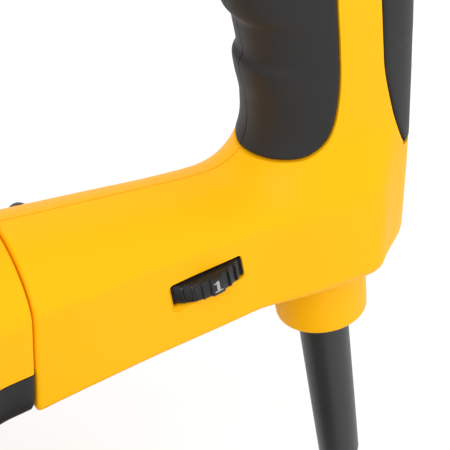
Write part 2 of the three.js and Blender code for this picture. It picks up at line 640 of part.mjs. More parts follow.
function buildMotorHousing() {
  const wall = SHELL_WALL + 1;
  const groove = cut(housingLoft(-3, -1, housingLength + 1), housingLoft(STRIP_THICKNESS + TOUCH_GAP, -2, housingLength + 2));
  const vents = Array.from({ length: VENTS }, (unused, i) => {
    const x = SEAM_DISTANCE - 24 - i * VENT_PITCH;
    return block([x - VENT_WIDTH / 2, -60, -6], [x + VENT_WIDTH / 2, 60, 14]);
  });
  const shell = cut(
    housingLoft(0),
    housingLoft(wall, -2, housingLength + 2),
    groove.intersect(underStrip(TOUCH_GAP)),
    ...vents,
  );
  add(powerhead, "motor_housing", shell, yellowPlastic);
  const skin = cut(housingLoft(0), housingLoft(STRIP_THICKNESS, -2, housingLength + 2));
  add(powerhead, "motor_lower_strip", skin.intersect(underStrip(0)), blackPlastic);
}

function buildMotor() {
  const statorEnd = STATOR_START + STATOR_LENGTH;
  const bore = ARMATURE_RADIUS + AIR_GAP;
  add(powerhead, "stator", axisRing(bore, STATOR_RADIUS, STATOR_START, statorEnd, 20), laminations);
  const core = axisRing(SHAFT_RADIUS + TOUCH_GAP, ARMATURE_RADIUS, STATOR_START, statorEnd, 20);
  add(powerhead, "armature_core", core, copper);
  const shaftStart = 12.5;
  const rearSeat = REAR_BEARING_X - shaftStart;
  const shaftProfile = [
    [0, 0], [SHAFT_RADIUS - 1.5, 0], [SHAFT_RADIUS - 1.5, 14.3], [SHAFT_RADIUS + 1, 14.5], [SHAFT_RADIUS + 1, 33],
    [SHAFT_RADIUS, 33.2], [SHAFT_RADIUS, rearSeat - 0.5], [4, rearSeat - 0.3], [4, rearSeat + 8], [0, rearSeat + 8],
  ];
  add(powerhead, "armature_shaft", turned(shaftProfile, point(shaftStart, 0, 0), alongX, 16), steel);
  const commutator = axisRing(SHAFT_RADIUS + TOUCH_GAP, COMMUTATOR_RADIUS, statorEnd + 3, statorEnd + 19);
  add(powerhead, "commutator", commutator, copper);

  const blades = Array.from({ length: 8 }, (unused, i) => {
    const angle = 45 * i;
    const blade = new THREE.BoxGeometry(9, 22, 1.6).translate(0, 23, 0).rotateX(angle * DEG);
    return solid(blade.translate(FAN_X + 5, 0, 0));
  });
  const fanProfile = [
    [SHAFT_RADIUS + TOUCH_GAP, 0], [11, 0], [13, 8], [34.5, 9], [34.5, 11], [SHAFT_RADIUS + TOUCH_GAP, 11],
    [SHAFT_RADIUS + TOUCH_GAP, 0],
  ];
  const fan = joined(turned(fanProfile, point(FAN_X, 0, 0), alongX), ...blades);
  add(powerhead, "fan", fan, blackPlastic);

  const frontBearing = axisRing(SHAFT_RADIUS + 1 + TOUCH_GAP, FRONT_BEARING_RADIUS, FRONT_BEARING_X + TOUCH_GAP, FRONT_BEARING_X + 10);
  add(powerhead, "armature_bearing_front", frontBearing, steel);
  add(powerhead, "armature_bearing_rear", axisRing(4 + TOUCH_GAP, BALL_RADIUS, REAR_BEARING_X, REAR_BEARING_X + BALL_WIDTH), steel);

  const bridge = joined(
    block([REAR_BEARING_X - 1, -70, -7], [REAR_BEARING_X + BALL_WIDTH + 2.5, 70, 7]),
    block([REAR_BEARING_X - 1, -7, -70], [REAR_BEARING_X + BALL_WIDTH + 2.5, 7, 70]),
    axisRod(BALL_RADIUS + 4, REAR_BEARING_X - 1, REAR_BEARING_X + BALL_WIDTH + 2.5),
  );
  const bridgeHoles = [
    axisRod(BALL_RADIUS + TOUCH_GAP, REAR_BEARING_X - 2, REAR_BEARING_X + BALL_WIDTH + TOUCH_GAP),
    axisRod(6, REAR_BEARING_X, REAR_BEARING_X + BALL_WIDTH + 5),
  ];
  const inside = housingLoft(SHELL_WALL + 1 + TOUCH_GAP, 2, 60);
  add(powerhead, "rear_bearing_bridge", cut(bridge, ...bridgeHoles).intersect(inside), blackPlastic);

  const brushX = statorEnd + 11;
  for (const [name, side] of [["left", -1], ["right", 1]]) {
    const place = (y) => point(brushX, side * y, 0);
    const holderEnd = housingWidth(SEAM_DISTANCE - brushX) - SHELL_WALL - 3.5;
    add(powerhead, "brush_holder_" + name, ring(3.7, 5.6, place(COMMUTATOR_RADIUS + 2), place(holderEnd), 12), copper);
    add(powerhead, "carbon_brush_" + name, rod(3.3, place(COMMUTATOR_RADIUS + 0.5), place(holderEnd - 4), 12), darkSteel);
  }
}

// ---- guard and shoe, upright, around the spindle ----
const guardOuterY = GUARD_INNER_Y - GUARD_DEPTH;
const coverY = guardOuterY - GUARD_WALL - TOUCH_GAP;

function guardOutline(inset, lowEdge) {
  const radius = GUARD_RADIUS - inset;
  return [...arcPoints(0, SPINDLE_HEIGHT, radius, 0, 180, 16), [-radius, lowEdge], [radius, lowEdge]];
}

function guardScrewPlaces() {
  const reach = GUARD_RADIUS - 7;
  return [15, 65, 115, 165].map((angle) => [
    reach * Math.cos(angle * DEG), SPINDLE_HEIGHT + reach * Math.sin(angle * DEG),
  ]);
}

function portAxis() {
  return point(Math.cos(PORT_RISE * DEG), 0, Math.sin(PORT_RISE * DEG));
}

function buildGuard() {
  const middleY = GUARD_INNER_Y - GUARD_DEPTH / 2;
  const portFoot = point(58, middleY, SPINDLE_HEIGHT + 22);
  const along = (distance) => portFoot.clone().addScaledVector(portAxis(), distance);
  const room = slab(guardOutline(GUARD_WALL, GUARD_LOW_EDGE - 10), guardOuterY - 1, GUARD_INNER_Y - GUARD_WALL);
  const lugs = guardScrewPlaces().map(([x, z]) => crossRod(5, x, z, guardOuterY, guardOuterY + 9, 10));
  const screwHoles = guardScrewPlaces().map(([x, z]) => (
    crossRod(SCREW_RADIUS + TOUCH_GAP, x, z, guardOuterY - 1, guardOuterY + 10, 8)
  ));
  const drum = cut(slab(guardOutline(0, GUARD_LOW_EDGE), guardOuterY, GUARD_INNER_Y), room);
  const stub = cut(rod(PORT_BORE + 2.5, along(0), along(PORT_STUB)), room);
  const body = cut(
    joined(drum, stub, ...lugs),
    rod(PORT_BORE, along(-5), along(PORT_STUB + 1)),
    crossRod(NECK_RADIUS + TOUCH_GAP, 0, SPINDLE_HEIGHT, GUARD_INNER_Y - GUARD_WALL - 1, GUARD_INNER_Y + 1),
    ...screwHoles,
  );
  add(tool, "guard_body", body, blackPlastic);

  const sleeve = PORT_BORE + 2.5 + TOUCH_GAP;
  const portProfile = [
    [sleeve, 0], [sleeve + 3, 0], [sleeve + 3, 15], [PORT_BORE + 2.5, 17], [PORT_BORE + 2.5, 10 + PORT_LENGTH],
    [PORT_BORE, 10 + PORT_LENGTH], [PORT_BORE, 10 + TOUCH_GAP], [sleeve, 10 + TOUCH_GAP], [sleeve, 0],
  ];
  add(tool, "dust_port", turned(portProfile, along(PORT_STUB - 10), portAxis()), blackPlastic);

  const plate = slab(guardOutline(0, GUARD_LOW_EDGE), coverY, guardOuterY - TOUCH_GAP);
  const pinHead = coverY - CHEEK_GAP - CHEEK_THICKNESS - TOUCH_GAP;
  const guidePin = joined(
    crossRod(STUD_RADIUS, -STUD_REACH, STUD_HEIGHT, pinHead - 1, coverY + 1),
    crossRod(STUD_RADIUS + 4, -STUD_REACH, STUD_HEIGHT, pinHead - 3, pinHead - 0.5),
  );
  const coverHoles = guardScrewPlaces().map(([x, z]) => (
    crossRod(SCREW_RADIUS + TOUCH_GAP, x, z, coverY - 1, guardOuterY, 8)
  ));
  const studHole = crossRod(STUD_RADIUS + RUNNING_GAP, STUD_REACH, STUD_HEIGHT, coverY - 1, guardOuterY + 1);
  add(tool, "guard_cover", cut(joined(plate, guidePin), studHole, ...coverHoles), blackPlastic);
  guardScrewPlaces().slice(1, 3).forEach(([x, z], i) => {
    const profile = [[0, 0], [3.6, 0], [3.6, 2.4], [SCREW_RADIUS, 2.4], [SCREW_RADIUS, 12], [0, 12]];
    const screw = turned(profile, point(x, coverY - TOUCH_GAP - 2.4, z), alongY, 12);
    add(tool, "guard_screw_" + (i + 1), screw, darkSteel);
  });
}

function buildShoe() {
  const cheekOuter = coverY - CHEEK_GAP;
  const plateTop = SHOE_LIFT + SHOE_THICKNESS;
  const nearY = cheekOuter - CHEEK_THICKNESS;
  const plate = block([SHOE_FRONT, nearY, SHOE_LIFT], [SHOE_REAR, SHOE_FAR_Y, plateTop]);
  const discWindow = block([5 - DISC_RADIUS, FIRST_DISC_Y - DISC_PITCH - 8, 0], [DISC_RADIUS - 5, FIRST_DISC_Y + 8, 10]);
  const ear = STUD_RADIUS + RUNNING_GAP + 5;
  const earTop = STUD_HEIGHT + STUD_RADIUS + 8;
  const cheek = slab([
    [SHOE_FRONT - 20, SHOE_LIFT], [SHOE_REAR, SHOE_LIFT], [SHOE_REAR, 20], [STUD_REACH + ear, 34], [STUD_REACH + ear, earTop],
    [STUD_REACH - ear, earTop], [STUD_REACH - ear, 40], [-STUD_REACH + ear, 40], [-STUD_REACH + ear, earTop],
    [-STUD_REACH - ear, earTop], [-STUD_REACH - ear, 34], [SHOE_FRONT - 20, 16],
  ], nearY, cheekOuter);
  const slots = [-STUD_REACH, STUD_REACH].flatMap((x) => {
    const half = STUD_RADIUS + RUNNING_GAP;
    return [
      block([x - half, nearY - 1, STUD_HEIGHT - DEPTH_TRAVEL], [x + half, cheekOuter + 1, STUD_HEIGHT]),
      crossRod(half, x, STUD_HEIGHT, nearY - 1, cheekOuter + 1),
      crossRod(half, x, STUD_HEIGHT - DEPTH_TRAVEL, nearY - 1, cheekOuter + 1),
    ];
  });
  const inner = block([SHOE_FRONT, GUARD_INNER_Y + 1, SHOE_LIFT], [SHOE_REAR, GUARD_INNER_Y + 1 + CHEEK_THICKNESS, 21]);
  const farCheek = block([SHOE_FRONT - 20, SHOE_FAR_Y - CHEEK_THICKNESS, SHOE_LIFT], [SHOE_REAR, SHOE_FAR_Y, 14]);
  const brackets = [nearY + CHEEK_THICKNESS + ROLLER_WIDTH + 1.2, SHOE_FAR_Y - 2 * CHEEK_THICKNESS - ROLLER_WIDTH - 1.2].map((y) =>
    slab([[SHOE_FRONT - 20, SHOE_LIFT], [SHOE_FRONT + 2, SHOE_LIFT], [SHOE_FRONT + 2, plateTop], [SHOE_FRONT - 4, 8],
      [SHOE_FRONT - 4, 14], [SHOE_FRONT - 20, 14]], y, y + CHEEK_THICKNESS));
  const axleHole = crossRod(AXLE_RADIUS + TOUCH_GAP, ROLLER_X, ROLLER_RADIUS, nearY - 5, SHOE_FAR_Y + 5, 12);
  const runners = [nearY + 4, SHOE_FAR_Y - 20].map((y) => block([SHOE_REAR - 20, y, 0], [SHOE_REAR - 3, y + 16, plateTop]));
  const shoe = cut(joined(plate, cheek, inner, farCheek, ...brackets, ...runners), discWindow, axleHole, ...slots);
  add(tool, "depth_shoe", shoe, darkSteel);

  add(tool, "roller_axle", crossRod(AXLE_RADIUS, ROLLER_X, ROLLER_RADIUS, nearY - 2, SHOE_FAR_Y + 2, 12), steel);
  const rollerGap = 0.6;
  const nearRoller = nearY + CHEEK_THICKNESS + rollerGap;
  const farRoller = SHOE_FAR_Y - CHEEK_THICKNESS - rollerGap - ROLLER_WIDTH;
  for (const [name, y] of [["roller_left", nearRoller], ["roller_right", farRoller]]) {
    const roller = crossRing(AXLE_RADIUS + RUNNING_GAP, ROLLER_RADIUS, ROLLER_X, ROLLER_RADIUS, y, y + ROLLER_WIDTH, 24);
    add(tool, name, roller, blackPlastic);
  }

  const knobY = nearY - 0.6;
  const lobes = Array.from({ length: 30 }, (unused, i) => {
    const angle = (2 * Math.PI * i) / 30;
    const radius = KNOB_RADIUS + 2 * Math.cos(5 * angle);
    return [STUD_REACH + radius * Math.cos(angle), STUD_HEIGHT + radius * Math.sin(angle)];
  });
  const stud = crossRod(STUD_RADIUS, STUD_REACH, STUD_HEIGHT, knobY - 1, guardOuterY + 2);
  add(tool, "depth_knob", joined(slab(lobes, knobY - 12, knobY), stud), blackPlastic);
}

// ---- front handle ----
function buildFrontHandle() {
  const axis = handleBossAxis();
  const foot = point(0, 0, GEARBOX_RADIUS - 8).addScaledVector(axis, HANDLE_BOSS_LENGTH);
  const along = (distance) => foot.clone().addScaledVector(axis, distance);
  const stud = rod(HANDLE_STUD_RADIUS, along(-9.5), along(5), 16); // moulded into the grip
  const grip = turned([
    [0, TOUCH_GAP], [22, TOUCH_GAP], [22, 5], [15, 9], [15.5, 30], [18, 55], [17, 80], [16, 92], [20, 104], [17, HANDLE_LENGTH], [0, HANDLE_LENGTH],
  ], foot, axis);
  add(powerhead, "front_handle", joined(grip, stud), softRubber);
}

// ---- rear handle ----
const armWidth = through([[0, ARM_HALF_WIDTH], [20, ARM_HALF_WIDTH - 1.2], [40, ARM_HALF_WIDTH - 3], [56, WHEEL_SIDE],
  [80, WHEEL_SIDE - 0.8], [110, WHEEL_SIDE - 2]]);
const armTop = through([[0, 22.1], [15, 21.5], [34, 20.8], [55, 20], [68, 20], [110, 23]]);
const armBottom = through([[0, 25.9], [20, 22.8], [44, 19.8], [60, 17.8], [75, 15.6], [110, 11.5]]);
const armShoulder = through([[0, 5], [15, 6], [33, 7.5], [55, 9], [75, 10], [110, 12]]);

function armLoft(inset, from, to) {
  const stops = [from, ...[0, 20, 40, 60, 80].filter((x) => x > from + 1 && x < to - 1), to];
  return loft(stops.map((x) => sectionRing(
    armWidth(x) - inset, armTop(x) - inset, armBottom(x) - inset, armShoulder(x), ARM_ARCH, 14, 20,
    (y, z) => point(x, y, z),
  )));
}

// The grip, from the rear corner of the arm up into the loop: [height, front, rear, half width].
const gripRows = [
  [-12, 78, 127.6, 21], [8, 77, 128.5, 21.5], [20, 75.5, 129.3, 20.5], [36, 80.4, 130.2, GRIP_HALF_WIDTH],
  [56, 77.3, 130.2, GRIP_HALF_WIDTH], [74, 74, 130.2, GRIP_HALF_WIDTH], [100, 75, 129, GRIP_HALF_WIDTH],
  [120, 75, 127, GRIP_HALF_WIDTH], [136, 78, 125, LOOP_HALF_WIDTH],
];

function gripLoft(inset, low = null) {
  const rows = gripRows.filter(([z]) => low === null || z >= low);
  return loft(rows.map(([height, front, back, half], row) => {
    const z = row === 0 ? height + inset : row === rows.length - 1 ? height - inset : height;
    const middle = (front + back) / 2;
    return Array.from({ length: 16 }, (unused, i) => {
      const angle = (2 * Math.PI * i) / 16;
      const x = middle + ((back - front) / 2 - inset) * bulge(Math.cos(angle), 2.3);
      return point(x, (half - inset) * bulge(Math.sin(angle), 2.3), z);
    });
  }));
}

// The loop's top bar and front pillar, swept along a path from the grip to the motor housing.
const loopPath = new THREE.SplineCurve([
  [108, 118], [98, 137], [78, LOOP_HEIGHT], [40, LOOP_HEIGHT + 1], [5, LOOP_HEIGHT - 1], [-18, 130], [-29, 108], [-33, 75], [-36, 45], [-40, 14],
].map(([x, z]) => new THREE.Vector2(x, z)));

function loopLoft(inset) {
  const steps = 10;
  return loft(Array.from({ length: steps + 1 }, (unused, step) => {
    const at = step / steps;
    const middle = loopPath.getPoint(at);
    const way = loopPath.getTangent(at);
    const flare = 1 + 0.25 * Math.max(0, (at - 0.85) / 0.15);
    return Array.from({ length: 12 }, (unusedToo, i) => {
      const angle = (2 * Math.PI * i) / 12;
      const out = (LOOP_HALF_THICKNESS * flare - inset) * bulge(Math.cos(angle), 2.6);
      const y = (LOOP_HALF_WIDTH * flare - inset) * bulge(Math.sin(angle), 2.6);
      return point(middle.x - way.y * out, y, middle.y + way.x * out);
    });
  }));
}

const bossAxis = point(Math.sin(BOSS_LEAN * DEG), 0, -Math.cos(BOSS_LEAN * DEG));
const bossFoot = point(105, 0, -38.7); // middle of the boss's lower face

function alongBoss(distance) {
  return bossFoot.clone().addScaledVector(bossAxis, distance);
}

const frontPadOutline = [
  [60, 22.5], [74, 22.5], [76, 26.5], [84, 26], [91, 28], [96, 32], [99, 39], [100, 50], [99.5, 64], [98.5, 78],
  [98, 96], [96, 112], [88, 121], [60, 121],
];
const rearPadOutline = [[150, 24], [124, 24], [120.5, 28], [118, 33], [116, 40], [114, 50], [113, 60], [112, 74],
  [111, 92], [112, 108], [116, 118], [150, 118]].reverse();

function buildRearHandle() {
  const outer = joined(
    armLoft(0, SEAM_GAP, 108),
    gripLoft(0),
    loopLoft(0),
    turned([[0, 0], [BOSS_RADIUS, 0], [BOSS_TOP_RADIUS, BOSS_LENGTH], [0, BOSS_LENGTH]],
      bossFoot, bossAxis.clone().negate()),
  );
  const hollow = joined(
    armLoft(SHELL_WALL, -5, 100),
    gripLoft(SHELL_WALL + PAD_THICKNESS),
    loopLoft(SHELL_WALL),
    rod(BOSS_RADIUS - SHELL_WALL, alongBoss(-4), alongBoss(-BOSS_LENGTH)),
  );
  const housingGap = housingLoft(-TOUCH_GAP, 0, 90, headToRear);
  const posts = SCREW_PLACES.map(([x, z]) => crossRod(4.2, x, z, -60, 60, 10));
  const solidPosts = posts.map((post) => post.intersect(outer));
  const shellWhole = joined(cut(outer, hollow), ...solidPosts);

  const padRoom = cut(gripLoft(-2), gripLoft(PAD_THICKNESS + TOUCH_GAP));
  const pads = cut(gripLoft(0), gripLoft(PAD_THICKNESS));
  const gripBand = block([50, -40, 15], [150, 40, 121.3]);
  const padGap = TOUCH_GAP;
  const wheelCentre = point(WHEEL_X, -WHEEL_SIDE - WHEEL_PROUD + WHEEL_RADIUS, WHEEL_Z);
  const wheelAxis = point(-Math.sin(WHEEL_TILT * DEG), 0, Math.cos(WHEEL_TILT * DEG));
  const alongWheel = (distance) => wheelCentre.clone().addScaledVector(wheelAxis, distance);
  const wheelSlot = joined(
    turnedBlock([WHEEL_X, -WHEEL_SIDE, WHEEL_Z], [SLOT_LENGTH, 12, SLOT_HEIGHT], -WHEEL_TILT),
    rod(WHEEL_RADIUS + 0.5, alongWheel(-SLOT_HEIGHT / 2), alongWheel(SLOT_HEIGHT / 2), 24),
  );

  const triggerSlot = block([50, -TRIGGER_HALF - 0.7, TRIGGER_LOW - 3.4], [84.5, TRIGGER_HALF + 0.7, TRIGGER_HIGH + 2]);
  const screwLine = SCREW_PLACES.map(([x, z]) => crossRod(SCREW_RADIUS + TOUCH_GAP, x, z, -12, 60, 8));
  const headRooms = SCREW_PLACES.map(([x, z]) => crossRod(4, x, z, headSeatY(x, z), 60, 10));
  const buttonHole = crossRod(LOCK_ON_RADIUS + RUNNING_GAP, LOCK_ON_X, LOCK_ON_Z, -40, 0);
  const whole = cut(
    shellWhole,
    housingGap,
    padRoom.intersect(slab(grown(frontPadOutline, padGap), -40, 40)).intersect(gripBand),
    padRoom.intersect(slab(grown(rearPadOutline, padGap), -40, 40)).intersect(gripBand),
    triggerSlot,
    rod(PROTECTOR_RADIUS + RUNNING_GAP, alongBoss(5), alongBoss(-BOSS_LENGTH)),
    crossRod(TRIGGER_PIN_RADIUS + TOUCH_GAP, TRIGGER_PIVOT[0], TRIGGER_PIVOT[1], -12.8, 12.8, 12),
    ...screwLine,
    ...headRooms,
  );
  const leftHalf = block([-120, -60, -120], [200, -TOUCH_GAP / 2, 220]);
  const rightHalf = block([-120, TOUCH_GAP / 2, -120], [200, 60, 220]);
  add(rear, "handle_shell_left", cut(whole, wheelSlot, buttonHole).intersect(leftHalf), yellowPlastic);
  add(rear, "handle_shell_right", whole.intersect(rightHalf), yellowPlastic);

  const frontPad = cut(pads.intersect(slab(frontPadOutline, -40, 40)), triggerSlot);
  const rearPad = pads.intersect(slab(rearPadOutline, -40, 40));
  add(rear, "front_pad_left", frontPad.intersect(leftHalf), softRubber);
  add(rear, "front_pad_right", frontPad.intersect(rightHalf), softRubber);
  add(rear, "rear_pad", rearPad, softRubber);

  SCREW_PLACES.slice(0, 2).forEach(([x, z], i) => {
    const seat = headSeatY(x, z);
    const profile = [[0, 0], [3.4, 0], [3.4, 2.4], [SCREW_RADIUS, 2.4], [SCREW_RADIUS, seat + 10], [0, seat + 10]];
    add(rear, "handle_screw_" + (i + 1), turned(profile, point(x, seat + 2.4 + TOUCH_GAP, z), point(0, -1, 0), 12), darkSteel);
  });

  const knurled = Array.from({ length: 72 }, (unused, i) => {
    const angle = (2 * Math.PI * i) / 72;
    const onDigit = (i + 6) % 12 < 3;
    const radius = WHEEL_RADIUS - (onDigit || i % 2 ? 0 : 0.7);
    return new THREE.Vector2(radius * Math.cos(angle), radius * Math.sin(angle));
  });
  const rim = new THREE.ExtrudeGeometry(new THREE.Shape(knurled), { depth: WHEEL_THICKNESS, bevelEnabled: false })
    .translate(0, 0, -WHEEL_THICKNESS / 2).rotateY(-WHEEL_TILT * DEG).translate(wheelCentre.x, wheelCentre.y, wheelCentre.z);
  const hub = rod(3, alongWheel(-WHEEL_THICKNESS / 2 - 2.5), alongWheel(WHEEL_THICKNESS / 2 + 2.5), 14);
  add(rear, "speed_wheel", joined(solid(rim), hub), blackPlastic);
  const module = turnedBlock([WHEEL_X - 34, 0, WHEEL_Z - 1], [24, 30, 12], -WHEEL_TILT / 2);
  add(rear, "speed_module", module, blackPlastic);
}

// Where a handle screw's head sits below the right-hand surface.
function headSeatY(x, z) {
  return z > 100 || x < 0 ? LOOP_HALF_WIDTH - 8 : ARM_HALF_WIDTH - 12;
}

function buildTrigger() {
  const outline = [
    [68.5, TRIGGER_LOW], [86, TRIGGER_LOW], [86, TRIGGER_LOW + 18], [91, TRIGGER_LOW + 23], [91, TRIGGER_HIGH], [75, TRIGGER_HIGH],
    [71, TRIGGER_HIGH - 6], [67.5, TRIGGER_LOW + 18], [66.5, TRIGGER_LOW + 8],
  ].reverse();
  const trunnions = crossRod(TRIGGER_PIN_RADIUS, ...TRIGGER_PIVOT, -12.3, 12.3, 12);
  add(rear, "trigger", joined(slab(outline, -TRIGGER_HALF, TRIGGER_HALF), trunnions), blackPlastic);
  add(rear, "switch_body", block([95, -6.5, 76], [117, 6.5, 106]), blackPlastic);

  const proud = GRIP_HALF_WIDTH + 2.5;
  const button = joined(
    crossRod(LOCK_ON_RADIUS, LOCK_ON_X, LOCK_ON_Z, -proud, -10.7),
    crossRod(LOCK_ON_RADIUS + 1.3, LOCK_ON_X, LOCK_ON_Z, -11.9, -10.7),
  );
  add(rear, "lock_on_button", button, blackPlastic);
}

function buildCordEntry() {
  const profile = [
    [0, 0], [PROTECTOR_TIP_RADIUS, 0], [PROTECTOR_RADIUS, PROTECTOR_LENGTH], [PROTECTOR_RADIUS, PROTECTOR_LENGTH + 4.3],
    [BOSS_RADIUS - SHELL_WALL - TOUCH_GAP, PROTECTOR_LENGTH + 4.4], [BOSS_RADIUS - SHELL_WALL - TOUCH_GAP, PROTECTOR_LENGTH + 8],
    [0, PROTECTOR_LENGTH + 8],
  ];
  const tip = alongBoss(PROTECTOR_LENGTH);
  add(rear, "cord_protector", turned(profile, tip, bossAxis.clone().negate()), cordRubber);
}

// A round tube along a smooth curve through the points given.
function sweep(points, radius, sides, steps) {
  const outline = new THREE.Shape(Array.from({ length: sides }, (unused, i) => {
    const angle = (2 * Math.PI * i) / sides;
    return new THREE.Vector2(radius * Math.cos(angle), radius * Math.sin(angle));
  }));
  const path = new THREE.CatmullRomCurve3(points, false, "centripetal");
  return solid(new THREE.ExtrudeGeometry(outline, { steps, extrudePath: path, bevelEnabled: false }));
}

// ---- free cord: down from the protector, along the floor and into a coil under the motor ----
const cordRoute = [
  [299.8, 0, 48.6], [299, 0.3, 33.8], [292.8, 1.2, 20.4], [281.8, 2.8, 10], [269.8, 4.8, 5.2], [259, 6.6, 4.6],
  [247, 7.8, 4.6], [235, 8, 4.6],
];

function buildCord() {
  const half = CORD_DIAMETER / 2;
  const tip = alongBoss(PROTECTOR_LENGTH + TOUCH_GAP).add(rear.position);
  const route = [tip, ...cordRoute.map(([x, y, z]) => point(x, y, z))];
  add(tool, "mains_cord", sweep(route, half, 8, 20), cordRubber);

  const coilFoot = point(...COIL_PLACE, 0);
  const turns = ring(COIL_INNER_RADIUS, COIL_OUTER_RADIUS, coilFoot, point(...COIL_PLACE, COIL_HEIGHT), 24);
  const lastTurn = arcPoints(...COIL_LAST_TURN, COIL_LAST_TURN_RADIUS, 0, 180, 12)
    .map(([x, y]) => point(x, y, COIL_HEIGHT + half - TOUCH_GAP));
  add(tool, "cord_coil", joined(turns, sweep(lastTurn, half, 8, 12)), cordRubber);

  const profile = [[0, 0], [6.5, 0], [8, 14], [17, 26], [19.5, 32], [19.5, 46], [0, 46]];
  const way = point(0, -Math.cos(PLUG_TILT * DEG), Math.sin(PLUG_TILT * DEG));
  const start = point(
    COIL_LAST_TURN[0] - COIL_LAST_TURN_RADIUS,
    COIL_LAST_TURN[1] - half * Math.tan(PLUG_TILT * DEG),
    COIL_HEIGHT + 6.5 * Math.cos(PLUG_TILT * DEG) + TOUCH_GAP,
  );
  const pins = [-9.5, 9.5].map((side) => {
    const foot = start.clone().addScaledVector(way, 45).add(point(side, 0, 0));
    return rod(2.4, foot, foot.clone().addScaledVector(way, 19), 10);
  });
  add(tool, "mains_plug", joined(turned(profile, start, way), ...pins), blackPlastic);
}

buildGears();
buildGearHousing();
buildGearCover();
buildSpindle();
buildDiscs();
buildSpindleLock();
buildMotorHousing();
buildMotor();
buildGuard();
buildShoe();
buildFrontHandle();
buildRearHandle();
buildTrigger();
buildCordEntry();
buildCord();

// The part's origin is the middle of the tool's footprint, on the floor, measured without the
// cord and what is on it.
const chaser = new THREE.Group();
chaser.add(tool);
tool.updateMatrixWorld(true);
const cordNodes = new Set(["cord_protector", "mains_cord", "cord_coil", "mains_plug"]);
const extent = new THREE.Box3();
tool.traverse((piece) => {
  if (piece.isMesh && !cordNodes.has(piece.name)) extent.expandByObject(piece, true);
});
tool.position.set(-(extent.min.x + extent.max.x) / 2, -(extent.min.y + extent.max.y) / 2, -extent.min.z);

export default chaser;
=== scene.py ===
# A hand-held wall chaser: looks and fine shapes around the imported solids.
# Shapes are built in millimetres in the frames of the part's own pieces and placed in metres.
import json
import math

import bmesh
import bpy
import numpy as np
from mathutils import Matrix, Vector


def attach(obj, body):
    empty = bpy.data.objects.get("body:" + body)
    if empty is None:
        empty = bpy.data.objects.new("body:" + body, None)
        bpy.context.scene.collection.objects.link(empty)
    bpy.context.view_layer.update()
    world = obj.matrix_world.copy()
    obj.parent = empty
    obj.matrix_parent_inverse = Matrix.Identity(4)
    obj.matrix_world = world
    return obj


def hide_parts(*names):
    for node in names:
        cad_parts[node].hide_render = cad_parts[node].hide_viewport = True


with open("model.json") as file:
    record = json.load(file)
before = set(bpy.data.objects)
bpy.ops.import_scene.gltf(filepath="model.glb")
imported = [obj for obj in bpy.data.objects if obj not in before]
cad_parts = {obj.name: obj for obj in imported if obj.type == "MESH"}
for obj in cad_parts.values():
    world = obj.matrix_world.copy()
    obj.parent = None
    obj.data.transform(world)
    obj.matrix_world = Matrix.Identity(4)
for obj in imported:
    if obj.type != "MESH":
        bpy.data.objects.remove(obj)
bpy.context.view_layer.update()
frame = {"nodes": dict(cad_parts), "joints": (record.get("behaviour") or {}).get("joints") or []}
nodes = frame["nodes"]
joints = {joint["name"]: joint for joint in frame["joints"]}
scene = bpy.context.scene
scene.view_settings.view_transform = "Standard"

# ---- frames: the tool stands on the floor under the spindle, the head leans with the motor, and
# the rear is upright with its origin on the motor axis at the seam
bodyTilt = math.atan2(joints["armature_spin"]["axis"][2], joints["armature_spin"]["axis"][0])
triggerPivot = (87, 115)
pivotAt = Vector(joints["trigger_pull"]["pos_m"])
gearAt = Vector(joints["layshaft_spin"]["pos_m"])
rearOrigin = pivotAt - Vector((triggerPivot[0], 0, triggerPivot[1])) * 0.001
toolOrigin = Vector((joints["spindle_spin"]["pos_m"][0], gearAt.y, 0))
scaleDown = Matrix.Scale(0.001, 4)
rearFrame = Matrix.Translation(rearOrigin) @ scaleDown
toolFrame = Matrix.Translation(toolOrigin) @ scaleDown
headFrame = Matrix.Translation(gearAt) @ Matrix.Rotation(-bodyTilt, 4, "Y") @ scaleDown
headToRear = rearFrame.inverted() @ headFrame

# ---- camera
view = {"azimuth": -27.0, "elevation": 33.0, "distance": 0.9565, "lens": 264.0, "target": (72.5, 0.0, 0.0)}


def makeCamera():
    azimuth, elevation = math.radians(view["azimuth"]), math.radians(view["elevation"])
    back = Vector((
        math.sin(azimuth) * math.cos(elevation), -math.cos(azimuth) * math.cos(elevation), math.sin(elevation),
    ))
    target = rearFrame @ Vector(view["target"])
    data = bpy.data.cameras.new("camera")
    data.lens = view["lens"]
    data.sensor_width = 36
    data.clip_end = 20
    camera = bpy.data.objects.new("camera", data)
    scene.collection.objects.link(camera)
    camera.location = target + back * view["distance"]
    camera.rotation_euler = (-back).to_track_quat("-Z", "Y").to_euler()
    scene.camera = camera


makeCamera()

# ---- lights, floor and surroundings
light = {"key": 24.0, "fill": 8.0, "top": 16.0, "world": 0.78}


